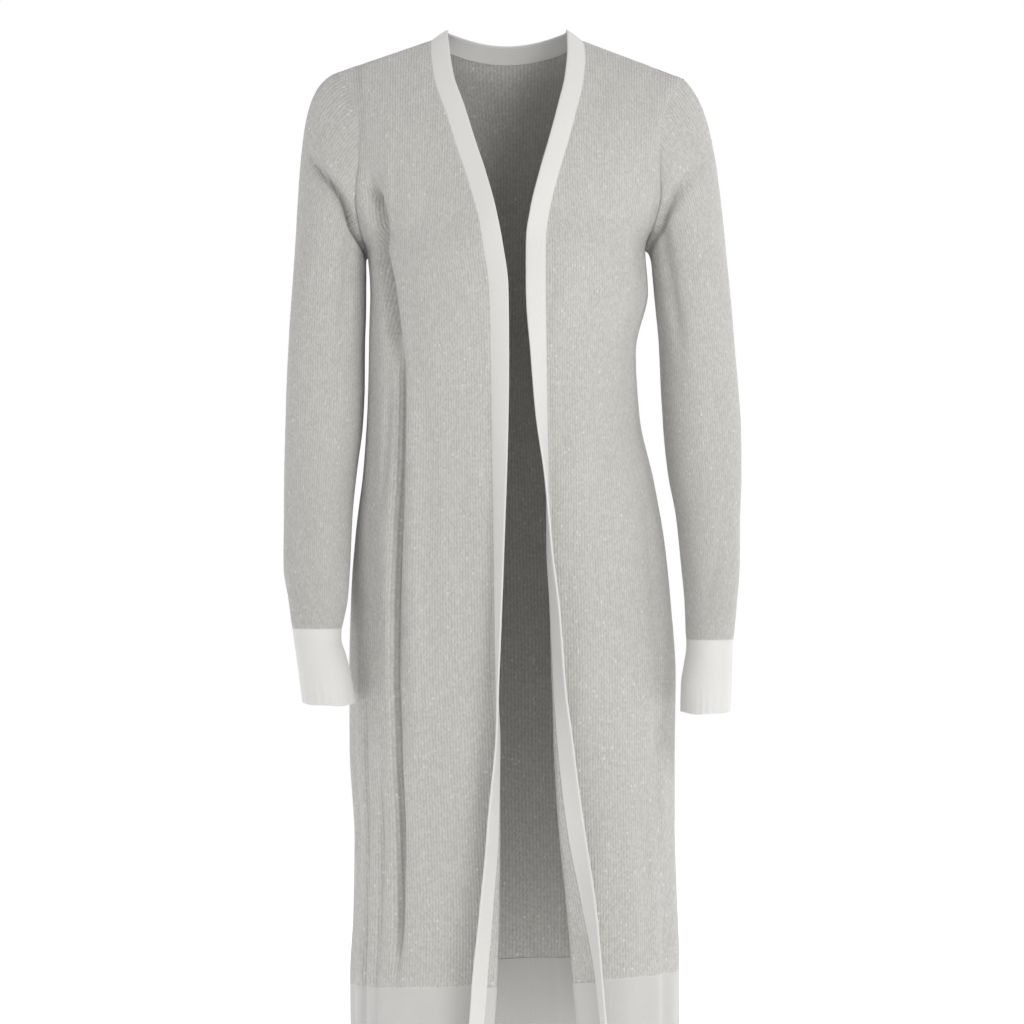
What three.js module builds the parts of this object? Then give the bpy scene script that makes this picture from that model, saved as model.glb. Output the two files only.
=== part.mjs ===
import * as THREE from "three";

// Long open-front knitted cardigan, in the hollow form it has when worn. Millimetres.
// +X is the wearer's left, the front faces -Y and +Z is up. The origin is the centre
// of the neck, level with the highest points of the shoulder seams.

// Knit and trim sizes
const KNIT_WALL = 2;
const TRIM_WALL = 2.4;
const SEAM_GAP = 0.3;
const BAND_WIDTH = 21;
const BEND_RADIUS = 5;

// How the hem seam runs lower on the wearer's right and at both sides
const HEM_TILT = 0.05;
const HEM_SIDE_DROP = 6;
const HEM_HALF_WIDTH = 180;
const TILT_STARTS_Z = -400;
const TILT_FULL_Z = -1031;

// Rows of the front tables: 0 hem edge, 1 hem seam, 12 underarm, 20 shoulder seam
const HEM_ROW = 0;
const PANEL_ROW = 1;
const UNDERARM_ROW = 12;
const YOKE_ROW = 15;
const SHOULDER_ROW = 20;

// Grid density
const BODY_STEPS = 17;
const ARMHOLE_STEPS = 10;
const HEM_STEPS = 2;
const MAIN_COLUMNS = 10;
const BEND_COLUMNS = 5;
const BACK_HALF_COLUMNS = 11;
const NECK_COLUMN = 6;
const NECK_SHARE = NECK_COLUMN / BACK_HALF_COLUMNS;
const CAP_STEPS = 7;
const ARM_STEPS = 12;
const CUFF_STEPS = 4;
const ROW_SAMPLES = 32;
const ROW_STEP = 0.02; // small step along the rows, for directions
const SHARE_STEP = 0.01; // small step along a row

// Section shape: how far each end of a row keeps its own direction
const SIDE_REACH = 0.62;
const EDGE_REACH = 0.5;
const HANDLE_SHARE = 1 / 3;
const QUARTER_TURN = Math.PI / 2;
const FRONT_SHARE = 0.5;
const BAND_STOPS = [0, 0.5, 1];
const CHEST_LIFT = -0.06;
const BEND_ZONE = 8;
const SEAM_ZONE = 3;

// Sleeve head shape
const HEAD_REACH = 0.2;
const ARM_REACH = 0.59;
const FOLDED_OVER = 0.1; // past this share round the arm, the sleeve folds back on the body
const UNDERARM_LEAN = 0.15; // how far the sleeve leans out as it drops from under the arm

const SIDES = { right: -1, left: 1 };

// A table with named columns
function rows(names, values) {
  return values.map((line) => Object.fromEntries(names.map((name, i) => [name, line[i]])));
}

// Fronts. side: side seam or armhole edge; edge: where the front edge starts to bend;
// turn: degrees that the row leaves the side towards the centre; bend: degrees that the
// front edge is turned out; fold: knit past the bend, up to the band seam; band: degrees
// that the band itself is turned out.
const FRONT_NAMES = [
  "sideX", "sideY", "sideZ", "edgeX", "edgeY", "edgeZ",
  "turn", "bend", "fold", "band",
];
const FRONT = {
  right: rows(FRONT_NAMES, [
    [-175, 4, -1111, -28, -115, -1111, 4, 144, 11, 130],
    [-176, 4, -1031, -21, -114, -1031, 4, 142, 10.5, 137],
    [-172, 4, -950, -18.5, -112, -950, 3, 133, 8, 130],
    [-171, 3, -870, -17.5, -110, -870, 3, 124, 2, 124],
    [-176, 3, -780, -17.5, -109, -780, 3, 103, 0.5, 103],
    [-176.5, 3, -700, -20.5, -109, -700, 3, 86, 0, 86],
    [-174.5, 2, -615, -21.5, -109, -615, 3, 72, 0, 72],
    [-169, 2, -545, -22, -109, -545, 3, 61, 0, 61],
    [-160.5, 2, -475, -22.5, -111, -475, 2, 48, 0, 48],
    [-156, 2, -400, -22.5, -114, -400, 2, 36, 0, 36],
    [-154.5, 3, -335, -23, -117, -335, 2, 29, 0, 29],
    [-153, 4, -285, -24, -118, -285, 2, 22, 0, 22],
    [-156, 4, -246, -29, -116, -246, 4, 16, 0, 16],
    [-164, -30, -216, -34.5, -111, -210, 30, 10, 0, 10],
    [-168, -46, -180, -45, -101, -170, 48, 5, 0, 5],
    [-164, -50, -140, -57.5, -87, -132, 58, 3, 0, 3],
    [-165, -43, -104, -69.5, -69, -93, 66, 3, 0, 3],
    [-172, -28, -74, -81.5, -47, -58, 74, 6, 0, 6],
    [-180, -13, -54, -86.5, -24, -28, 82, 10, 0, 10],
    [-186, -3, -45, -88, -6, -12, 88, 15, 0, 15],
    [-189.5, 5, -41.8, -87.5, 8, -6.6, 90, 18, 0, 18],
  ]),
  left: rows(FRONT_NAMES, [
    [186, 0, -1111, 82, -115, -1111, 8, 142, 27, 100],
    [186, 0, -1031, 74, -114, -1031, 8, 143, 26, 104],
    [183, 0, -950, 67, -112, -950, 8, 143, 17, 127],
    [180.5, -1, -870, 59, -110, -870, 8, 146, 7.5, 144],
    [180.5, -2, -790, 54, -109, -790, 8, 138, 3.6, 138],
    [181.5, -2, -710, 51.5, -109, -710, 8, 121, 1.7, 121],
    [176.5, -2, -630, 49, -109, -630, 7, 114, 0.5, 114],
    [169.5, -1, -560, 46, -109, -560, 6, 101, 0, 101],
    [157, 0, -490, 46, -111, -490, 5, 84, 0, 84],
    [142, 1, -420, 44, -114, -420, 4, 59, 0, 59],
    [138, 2, -350, 42, -117, -350, 3, 40, 0, 40],
    [151.5, 4, -285, 39, -118, -285, 3, 12, 0, 12],
    [148.5, 4, -238, 38.5, -116, -238, 4, 4, 0, 4],
    [158, -28, -210, 42, -111, -206, 30, 3, 0, 3],
    [164, -45, -178, 51, -101, -168, 48, 3, 0, 3],
    [163, -50, -140, 62, -87, -130, 58, 3, 0, 3],
    [165, -43, -106, 72, -69, -92, 66, 3, 0, 3],
    [172, -28, -80, 80, -47, -58, 74, 6, 0, 6],
    [181, -13, -61, 83, -24, -28, 82, 10, 0, 10],
    [187, -3, -52, 82, -6, -12, 88, 15, 0, 15],
    [190.9, 5, -49, 80.5, 8, -7, 90, 18, 0, 18],
  ]),
};

// Back, by the same rows up to the yoke: its centre line and, above the underarm, its armholes
const BACK_CENTRE = [
  { x: 5, y: 118, z: -1111 },
  { x: 5, y: 117, z: -1031 },
  { x: 5, y: 116, z: -950 },
  { x: 4, y: 116, z: -870 },
  { x: 3, y: 115.5, z: -785 },
  { x: 3, y: 115, z: -705 },
  { x: 2, y: 114, z: -622 },
  { x: 1, y: 110, z: -552 },
  { x: 0, y: 100, z: -482 },
  { x: -2, y: 87, z: -410 },
  { x: -3, y: 81, z: -342 },
  { x: -2, y: 88, z: -287 },
  { x: -2, y: 96, z: -242 },
  { x: -2, y: 101, z: -206 },
  { x: -2, y: 104, z: -171 },
  { x: -2, y: 103, z: -136 },
];
const BACK_ARMHOLE = {
  right: [
    { x: -156, y: 4, z: -246, turn: 4 },
    { x: -162, y: 36, z: -214, turn: 30 },
    { x: -166, y: 57, z: -178, turn: 48 },
    { x: -166, y: 64, z: -140, turn: 56 },
  ],
  left: [
    { x: 148.5, y: 4, z: -238, turn: 4 },
    { x: 157, y: 35, z: -208, turn: 30 },
    { x: 164, y: 56, z: -176, turn: 48 },
    { x: 165, y: 64, z: -140, turn: 56 },
  ],
};
const NAPE = { x: -3.5, y: 75, z: -25 };
const NAPE_RISE = new THREE.Vector3(0, -0.35, 0.94);
const SHOULDER_RISE = new THREE.Vector3(0, -0.95, 0.3);
const BAND_AT_NAPE = new THREE.Vector3(0, -0.28, 0.96);

// Sleeves and cuffs, by height: outer and inner side, middle and half depth front to back
const SLEEVE = {
  right: [
    { z: -262, outX: -238.3, inX: -158.6, y: 3, deep: 48 },
    { z: -305, outX: -241.8, inX: -158.6, y: 3, deep: 48 },
    { z: -340, outX: -243.9, inX: -159.4, y: 2, deep: 47.5 },
    { z: -390, outX: -245.9, inX: -159.6, y: -1, deep: 47 },
    { z: -430, outX: -246.5, inX: -161.5, y: -4, deep: 46 },
    { z: -480, outX: -247, inX: -168, y: -10, deep: 44 },
    { z: -530, outX: -246.5, inX: -173, y: -20, deep: 42 },
    { z: -585, outX: -245.9, inX: -175.2, y: -35, deep: 39 },
    { z: -620, outX: -240.2, inX: -177, y: -47, deep: 35 },
    { z: -652, outX: -235.8, inX: -182.6, y: -57, deep: 31 },
  ],
  left: [
    { z: -256, outX: 239.3, inX: 155.8, y: 3, deep: 48 },
    { z: -300, outX: 243.8, inX: 160, y: 3, deep: 48 },
    { z: -340, outX: 246.9, inX: 164, y: 2, deep: 47.5 },
    { z: -390, outX: 250.8, inX: 166.5, y: -1, deep: 47 },
    { z: -440, outX: 253.6, inX: 169.6, y: -5, deep: 46 },
    { z: -485, outX: 253.4, inX: 174.4, y: -11, deep: 44 },
    { z: -530, outX: 251.3, inX: 182.4, y: -20, deep: 42 },
    { z: -585, outX: 249.9, inX: 187.4, y: -33, deep: 39 },
    { z: -625, outX: 246.2, inX: 190.3, y: -46, deep: 35 },
    { z: -664, outX: 241.9, inX: 191.2, y: -57, deep: 31 },
  ],
};
const CUFF = {
  right: [
    { z: -652.3, outX: -235.8, inX: -182.6, y: -57.1, deep: 31 },
    { z: -663, outX: -234.2, inX: -182.9, y: -59, deep: 30 },
    { z: -680, outX: -231.7, inX: -177.6, y: -62, deep: 30.5 },
    { z: -705, outX: -228, inX: -171.4, y: -65, deep: 32 },
    { z: -733, outX: -224, inX: -167.4, y: -67, deep: 33 },
  ],
  left: [
    { z: -664.3, outX: 241.9, inX: 191.2, y: -57.1, deep: 31 },
    { z: -674, outX: 241.3, inX: 191, y: -59, deep: 30 },
    { z: -690, outX: 240.8, inX: 188.4, y: -61, deep: 30.5 },
    { z: -712, outX: 240.2, inX: 185, y: -64, deep: 32 },
    { z: -742, outX: 237.8, inX: 184.3, y: -66, deep: 33 },
  ],
};
const SHOULDER_SLOPE = { right: -0.38, left: -1.1 };

// Long soft creases: from one row to another, at a share of the row's length from the side.
// A negative depth is a ridge.
const CREASES = {
  front_right: [
    { row: 10.3, at: 0.47, toRow: 2.6, toAt: 0.52, depth: 6, width: 8 },
    { row: 9.6, at: 0.38, toRow: 7, toAt: 0.35, depth: 3.5, width: 7 },
    { row: 10, at: 0.425, toRow: 4, toAt: 0.45, depth: -2.5, width: 7 },
    { row: 3.6, at: 0.4, toRow: 0, toAt: 0.37, depth: 4, width: 8 },
    { row: 12.6, at: 0.17, toRow: 10.6, toAt: 0.2, depth: 5, width: 11 },
    { row: 6, at: 0.14, toRow: 0, toAt: 0.12, depth: 3, width: 10 },
  ],
  front_left: [
    { row: 12, at: 0.74, toRow: 9.8, toAt: 0.7, depth: 3, width: 11 },
    { row: 8.4, at: 0.3, toRow: 0, toAt: 0.34, depth: 3, width: 11 },
    { row: 12.5, at: 0.17, toRow: 10.9, toAt: 0.2, depth: 4, width: 11 },
    { row: 6.5, at: 0.62, toRow: 1, toAt: 0.58, depth: -2, width: 13 },
  ],
  back: [
    { row: 11.4, at: -0.42, toRow: 6, toAt: -0.36, depth: 5, width: 13 },
    { row: 10.6, at: 0.34, toRow: 4.2, toAt: 0.4, depth: 4, width: 12 },
    { row: 7, at: -0.16, toRow: 0, toAt: -0.2, depth: 5, width: 15 },
    { row: 6.2, at: 0.16, toRow: 0, toAt: 0.2, depth: 4.5, width: 14 },
    { row: 5, at: -0.58, toRow: 0, toAt: -0.62, depth: 4, width: 12 },
    { row: 5.4, at: 0.62, toRow: 0, toAt: 0.6, depth: 3.5, width: 12 },
  ],
};
const CREASE_FADE_ROWS = 1.2;
const CREASE_EDGE_FADE = 0.07;
const ROW_FULLNESS = 1.15; // length of a row over its chord

// Sleeve creases, by height and degrees round the arm: 0 outside, 90 front, 180 inside
const SLEEVE_CREASES = {
  right: [
    { z: -138, around: 62, toZ: -232, toAround: 150, depth: 7, width: 9 },
    { z: -205, around: 128, toZ: -330, toAround: 118, depth: 3, width: 10 },
    { z: -160, around: 300, toZ: -236, toAround: 212, depth: 6, width: 10 },
    { z: -420, around: 205, toZ: -500, toAround: 250, depth: 3, width: 10 },
    { z: -520, around: 60, toZ: -610, toAround: 100, depth: 2, width: 10 },
  ],
  left: [
    { z: -142, around: 78, toZ: -228, toAround: 152, depth: 6, width: 9 },
    { z: -205, around: 132, toZ: -340, toAround: 120, depth: 3, width: 10 },
    { z: -158, around: 296, toZ: -232, toAround: 214, depth: 6, width: 10 },
    { z: -430, around: 200, toZ: -515, toAround: 246, depth: 3, width: 10 },
    { z: -530, around: 66, toZ: -625, toAround: 96, depth: 2, width: 10 },
  ],
};
const SLEEVE_CREASE_FADE = 28;

const COLOURS = { knit: 0xc4c4be, trim: 0xe4e4df };

function knitMaterial() {
  return new THREE.MeshStandardMaterial({
    color: COLOURS.knit,
    roughness: 0.78,
    metalness: 0.08,
  });
}

function trimMaterial() {
  return new THREE.MeshStandardMaterial({
    color: COLOURS.trim,
    roughness: 0.9,
    metalness: 0,
  });
}

function smooth(from, to, value) {
  const t = Math.min(1, Math.max(0, (value - from) / (to - from)));
  return t * t * (3 - 2 * t);
}

function mix(a, b, t) {
  return a + (b - a) * t;
}

// Monotone cubic through one named column of a table, at positions given by another or by index
function column(table, name, position = null) {
  const x = table.map((row, i) => (position ? row[position] : i));
  const y = table.map((row) => row[name]);
  const last = x.length - 1;
  const chord = [];
  for (let i = 0; i < last; i++) chord.push((y[i + 1] - y[i]) / (x[i + 1] - x[i]));
  const slope = y.map((_, i) => {
    if (i === 0) return chord[0];
    if (i === last) return chord[last - 1];
    const product = chord[i - 1] * chord[i];
    return product <= 0 ? 0 : (2 * product) / (chord[i - 1] + chord[i]);
  });
  const rising = x[last] > x[0];
  return (at) => {
    let i = 0;
    while (i < last - 1 && (rising ? at > x[i + 1] : at < x[i + 1])) i++;
    const h = x[i + 1] - x[i];
    const t = (at - x[i]) / h;
    const a = (1 + 2 * t) * (1 - t) * (1 - t);
    const b = t * (1 - t) * (1 - t) * h;
    const c = t * t * (3 - 2 * t);
    const d = t * t * (t - 1) * h;
    return a * y[i] + b * slope[i] + c * y[i + 1] + d * slope[i + 1];
  };
}

function columnsOf(table, names, position = null) {
  return Object.fromEntries(names.map((name) => [name, column(table, name, position)]));
}

const RING_NAMES = ["outX", "inX", "y", "deep"];
const fronts = {};
const armholes = {};
const sleeves = {};
const cuffs = {};
for (const name of Object.keys(SIDES)) {
  fronts[name] = columnsOf(FRONT[name], FRONT_NAMES);
  armholes[name] = columnsOf(BACK_ARMHOLE[name], ["x", "y", "z", "turn"]);
  sleeves[name] = columnsOf(SLEEVE[name], RING_NAMES, "z");
  cuffs[name] = columnsOf(CUFF[name], RING_NAMES, "z");
}
const backCentre = columnsOf(BACK_CENTRE, ["x", "y", "z"]);

function hemTilt(point) {
  const share = smooth(TILT_STARTS_Z, TILT_FULL_Z, point.z);
  const side = (point.x / HEM_HALF_WIDTH) ** 4;
  return share * (HEM_TILT * point.x - HEM_SIDE_DROP * side);
}

function bezier(points, t) {
  const s = 1 - t;
  const weights = [s * s * s, 3 * s * s * t, 3 * s * t * t, t * t * t];
  const result = new THREE.Vector3();
  points.forEach((p, i) => result.addScaledVector(p, weights[i]));
  return result;
}

function sidePoint(name, row) {
  const f = fronts[name];
  return new THREE.Vector3(f.sideX(row), f.sideY(row), f.sideZ(row));
}

function edgePoint(name, row) {
  const f = fronts[name];
  return new THREE.Vector3(f.edgeX(row), f.edgeY(row), f.edgeZ(row));
}

function derivative(curve, row) {
  const low = Math.max(HEM_ROW, row - ROW_STEP);
  const high = Math.min(SHOULDER_ROW, row + ROW_STEP);
  return curve(high).sub(curve(low)).divideScalar(high - low);
}

// Direction in which a row leaves its side point, turned from straight ahead to the chord
function leaving(from, to, turn, ahead) {
  const chord = to.clone().sub(from).normalize();
  const angle = THREE.MathUtils.degToRad(turn);
  return chord
    .multiplyScalar(Math.sin(angle))
    .addScaledVector(ahead, Math.cos(angle))
    .normalize();
}

// Control points of a front's row, from its side to where its edge bends
function frontControls(name, row) {
  const side = sidePoint(name, row);
  const edge = edgePoint(name, row);
  const turn = fronts[name].turn(row);
  const depth = Math.abs(edge.y - side.y);
  const width = Math.abs(edge.x - side.x);
  const span = side.distanceTo(edge);
  const share = Math.sin(THREE.MathUtils.degToRad(turn));
  const out = leaving(side, edge, turn, new THREE.Vector3(0, -1, 0));
  const across = new THREE.Vector3(SIDES[name], CHEST_LIFT, 0).normalize();
  const back = side.clone().sub(edge).normalize();
  const inward = back.multiplyScalar(share).addScaledVector(across, 1 - share).normalize();
  const sideReach = mix(depth * SIDE_REACH, span * HANDLE_SHARE, share);
  const edgeReach = mix(width * EDGE_REACH, span * HANDLE_SHARE, share);
  return [
    side,
    side.clone().addScaledVector(out, sideReach),
    edge.clone().addScaledVector(inward, edgeReach),
    edge,
  ];
}

// Frame at the place where the front edge starts to bend
function edgeFrame(name, row) {
  const controls = frontControls(name, row);
  const along = derivative((r) => edgePoint(name, r), row).normalize();
  const across = controls[3].clone().sub(controls[2]).normalize();
  const outward = SIDES[name] < 0 ? across.clone().cross(along) : along.clone().cross(across);
  outward.normalize();
  const ahead = SIDES[name] < 0 ? along.clone().cross(outward) : outward.clone().cross(along);
  return { edge: controls[3], outward, ahead: ahead.normalize() };
}

// Point and directions at a length past the start of the bend
function pastEdge(frame, bend, length) {
  const arc = BEND_RADIUS * bend;
  const angle = Math.min(length / BEND_RADIUS, bend);
  const point = frame.edge
    .clone()
    .addScaledVector(frame.ahead, BEND_RADIUS * Math.sin(angle))
    .addScaledVector(frame.outward, BEND_RADIUS * (1 - Math.cos(angle)));
  const ahead = frame.ahead
    .clone()
    .multiplyScalar(Math.cos(angle))
    .addScaledVector(frame.outward, Math.sin(angle));
  const outward = frame.outward
    .clone()
    .multiplyScalar(Math.cos(angle))
    .addScaledVector(frame.ahead, -Math.sin(angle));
  point.addScaledVector(ahead, Math.max(0, length - arc));
  return { point, ahead, outward };
}

// The band seam at a front's row: its place, the wall's normal there, the band's direction
// and the band's own outer normal
function bandSeam(name, row) {
  const bend = THREE.MathUtils.degToRad(fronts[name].bend(row));
  const length = BEND_RADIUS * bend + fronts[name].fold(row);
  const frame = edgeFrame(name, row);
  const end = pastEdge(frame, bend, length);
  const angle = THREE.MathUtils.degToRad(fronts[name].band(row));
  const ahead = frame.ahead
    .clone()
    .multiplyScalar(Math.cos(angle))
    .addScaledVector(frame.outward, Math.sin(angle));
  const outward = frame.outward
    .clone()
    .multiplyScalar(Math.cos(angle))
    .addScaledVector(frame.ahead, -Math.sin(angle));
  const seamNormal = end.outward.add(outward).normalize();
  return { point: end.point, ahead, outward, seamNormal };
}

// One row of a front: points from the side to the band seam, each with its share of the flat part
function frontRow(name, row) {
  const controls = frontControls(name, row);
  const samples = ROW_SAMPLES;
  const points = [];
  for (let i = 0; i <= samples; i++) points.push(bezier(controls, i / samples));
  const lengths = [0];
  for (let i = 1; i <= samples; i++) {
    lengths.push(lengths[i - 1] + points[i].distanceTo(points[i - 1]));
  }
  const flat = lengths[samples];
  const frame = edgeFrame(name, row);
  const bend = THREE.MathUtils.degToRad(fronts[name].bend(row));
  const fold = fronts[name].fold(row);
  const total = flat + BEND_RADIUS * bend + fold;
  const seamZone = total - Math.max(fold, SEAM_ZONE);
  const bendZone = Math.min(flat, seamZone - BEND_ZONE);
  const stations = [];
  for (let i = 0; i < MAIN_COLUMNS; i++) stations.push((bendZone * i) / MAIN_COLUMNS);
  for (let i = 0; i < BEND_COLUMNS; i++) {
    stations.push(mix(bendZone, seamZone, i / BEND_COLUMNS));
  }
  stations.push(seamZone, total);
  return stations.map((length) => {
    if (length > flat) return { point: pastEdge(frame, bend, length - flat).point, share: 1 };
    let i = 1;
    while (i < samples && lengths[i] < length) i++;
    const t = (length - lengths[i - 1]) / (lengths[i] - lengths[i - 1]);
    return { point: points[i - 1].clone().lerp(points[i], t), share: length / flat };
  });
}

// Outward normal of both panels along the side seam
function sideNormal(name, row) {
  const controls = frontControls(name, row);
  const out = controls[1].clone().sub(controls[0]);
  const along = derivative((r) => sidePoint(name, r), row);
  const normal = SIDES[name] < 0 ? out.cross(along) : along.cross(out);
  return normal.normalize();
}

function backSide(name, row) {
  if (row <= UNDERARM_ROW) return sidePoint(name, row);
  const a = armholes[name];
  const at = row - UNDERARM_ROW;
  return new THREE.Vector3(a.x(at), a.y(at), a.z(at));
}

function backCentrePoint(row) {
  return new THREE.Vector3(backCentre.x(row), backCentre.y(row), backCentre.z(row));
}

// Half a row of the back, from one side to the centre line
function backHalf(name, row, t) {
  const side = backSide(name, row);
  const centre = backCentrePoint(row);
  const below = row <= UNDERARM_ROW;
  const turn = below ? 0 : armholes[name].turn(row - UNDERARM_ROW);
  const share = Math.sin(THREE.MathUtils.degToRad(turn));
  const controls = frontControls(name, Math.min(row, UNDERARM_ROW));
  const seamDirection = controls[0].clone().sub(controls[1]).normalize();
  const out = leaving(side, centre, turn, seamDirection);
  const depth = Math.abs(centre.y - side.y);
  const width = Math.abs(centre.x - side.x);
  const span = side.distanceTo(centre);
  const inward = new THREE.Vector3(SIDES[name], 0, 0);
  return bezier(
    [
      side,
      side.clone().addScaledVector(out, mix(depth * SIDE_REACH, span * HANDLE_SHARE, share)),
      centre.clone().addScaledVector(inward, width * EDGE_REACH),
      centre,
    ],
    t,
  );
}

// Top edge of half the back: the shoulder seam, then the neckline to the nape
function backTop(name, t) {
  const shoulder = sidePoint(name, SHOULDER_ROW);
  const neck = edgePoint(name, SHOULDER_ROW);
  if (t <= NECK_SHARE) return shoulder.lerp(neck, t / NECK_SHARE);
  const angle = ((t - NECK_SHARE) / (1 - NECK_SHARE)) * QUARTER_TURN;
  return new THREE.Vector3(
    mix(NAPE.x, neck.x, Math.cos(angle)),
    mix(neck.y, NAPE.y, Math.sin(angle)),
    mix(neck.z, NAPE.z, Math.sin(angle) ** 2),
  );
}

function backPoint(name, row, t) {
  if (row <= YOKE_ROW) return backHalf(name, row, t);
  const base = backHalf(name, YOKE_ROW, t);
  const top = backTop(name, t);
  const span = base.distanceTo(top);
  const rise = base.clone().sub(backHalf(name, YOKE_ROW - ROW_STEP, t)).normalize();
  const arrival = SHOULDER_RISE.clone().lerp(NAPE_RISE, smooth(NECK_SHARE, 1, t)).normalize();
  const w = (row - YOKE_ROW) / (SHOULDER_ROW - YOKE_ROW);
  return bezier(
    [
      base,
      base.clone().addScaledVector(rise, span * HANDLE_SHARE),
      top.clone().addScaledVector(arrival, -span * HANDLE_SHARE),
      top,
    ],
    w,
  );
}

// Band seam round the back of the neck, from the shoulder seam to the nape
function napeSeam(name, t) {
  const start = bandSeam(name, SHOULDER_ROW);
  const share = (t - NECK_SHARE) / (1 - NECK_SHARE);
  const point = share <= 0 ? start.point : backTop(name, t);
  const before = backTop(name, Math.max(t - SHARE_STEP, NECK_SHARE));
  const along = backTop(name, Math.min(t + SHARE_STEP, 1)).sub(before).normalize();
  const ahead = start.ahead.clone().lerp(BAND_AT_NAPE, smooth(0, 1, share));
  ahead.addScaledVector(along, -ahead.dot(along)).normalize();
  const outward = SIDES[name] < 0 ? ahead.clone().cross(along) : along.clone().cross(ahead);
  if (share >= 1) {
    ahead.setX(0).normalize();
    outward.setX(0).normalize();
  }
  outward.normalize();
  return { point, ahead, outward, seamNormal: outward };
}

function shoulderNormal(name) {
  const seam = edgePoint(name, SHOULDER_ROW).sub(sidePoint(name, SHOULDER_ROW));
  const normal = seam.cross(new THREE.Vector3(0, 1, 0)).normalize();
  return normal.z < 0 ? normal.negate() : normal;
}

// Outward normals of a grid of points, from its neighbours
function gridNormals(points, sign, wrap = false) {
  const rows = points.length;
  const columns = points[0].length;
  return points.map((line, i) =>
    line.map((_, j) => {
      const up = points[Math.min(i + 1, rows - 1)][j];
      const down = points[Math.max(i - 1, 0)][j];
      const next = wrap ? (j + 1) % columns : Math.min(j + 1, columns - 1);
      const previous = wrap ? (j - 1 + columns) % columns : Math.max(j - 1, 0);
      const across = line[next].clone().sub(line[previous]);
      return across.cross(up.clone().sub(down)).multiplyScalar(sign).normalize();
    }),
  );
}

// How far the creases of a piece move a point out (ridge) or in (trough)
function creaseShift(creases, row, at, rowLength, endFade) {
  let shift = 0;
  for (const crease of creases) {
    const share = (row - crease.row) / (crease.toRow - crease.row);
    const span = Math.abs(crease.row - crease.toRow);
    const start = smooth(0, CREASE_FADE_ROWS / span, share);
    const end = crease.toRow === HEM_ROW ? 1 : smooth(1, 1 - CREASE_FADE_ROWS / span, share);
    const centre = mix(crease.at, crease.toAt, share);
    const distance = ((at - centre) * rowLength) / crease.width;
    shift -= crease.depth * Math.exp(-distance * distance) * start * end;
  }
  return shift * endFade;
}

// Closed wall between an outer and an inner grid of points
function wall(outer, normals, thickness, wrap = false) {
  const rows = outer.length;
  const columns = outer[0].length;
  const inner = outer.map((line, i) =>
    line.map((p, j) => p.clone().addScaledVector(normals[i][j], -thickness)),
  );
  const vertices = [];
  for (const grid of [outer, inner]) {
    for (const line of grid) for (const p of line) vertices.push(p.x, p.y, p.z);
  }
  const index = (layer, i, j) => (layer * rows + i) * columns + (j % columns);
  const faces = [];
  const quad = (a, b, c, d) => faces.push(a, b, c, a, c, d);
  const around = wrap ? columns : columns - 1;
  for (let i = 0; i < rows - 1; i++) {
    for (let j = 0; j < around; j++) {
      quad(index(0, i, j), index(0, i, j + 1), index(0, i + 1, j + 1), index(0, i + 1, j));
      quad(index(1, i, j), index(1, i + 1, j), index(1, i + 1, j + 1), index(1, i, j + 1));
    }
  }
  for (let j = 0; j < around; j++) {
    const top = rows - 1;
    quad(index(0, 0, j), index(1, 0, j), index(1, 0, j + 1), index(0, 0, j + 1));
    quad(index(0, top, j), index(0, top, j + 1), index(1, top, j + 1), index(1, top, j));
  }
  if (!wrap) {
    for (let i = 0; i < rows - 1; i++) {
      const side = columns - 1;
      quad(index(0, i, 0), index(0, i + 1, 0), index(1, i + 1, 0), index(1, i, 0));
      quad(index(0, i, side), index(1, i, side), index(1, i + 1, side), index(0, i + 1, side));
    }
  }
  return facingOut(vertices, faces);
}

function facingOut(vertices, faces) {
  const corner = (i) => new THREE.Vector3().fromArray(vertices, faces[i] * 3);
  let volume = 0;
  for (let i = 0; i < faces.length; i += 3) {
    volume += corner(i).dot(corner(i + 1).cross(corner(i + 2)));
  }
  if (volume < 0) {
    for (let i = 0; i < faces.length; i += 3) {
      [faces[i + 1], faces[i + 2]] = [faces[i + 2], faces[i + 1]];
    }
  }
  const geometry = new THREE.BufferGeometry();
  geometry.setAttribute("position", new THREE.Float32BufferAttribute(vertices, 3));
  geometry.setIndex(faces);
  geometry.computeVertexNormals();
  return geometry;
}

function steps(from, to, count) {
  return Array.from({ length: count + 1 }, (_, i) => mix(from, to, i / count));
}

const GAP_ROW = SEAM_GAP / (FRONT.left[PANEL_ROW].sideZ - FRONT.left[HEM_ROW].sideZ);
const HEM_ROWS = steps(HEM_ROW, PANEL_ROW - GAP_ROW, HEM_STEPS);
const BODY_ROWS = steps(PANEL_ROW, UNDERARM_ROW, BODY_STEPS);
const ARMHOLE_ROWS = steps(UNDERARM_ROW, SHOULDER_ROW, ARMHOLE_STEPS);
const PANEL_ROWS = [...BODY_ROWS, ...ARMHOLE_ROWS.slice(1)];

function tilted(point) {
  return point.clone().setZ(point.z + hemTilt(point));
}

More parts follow.
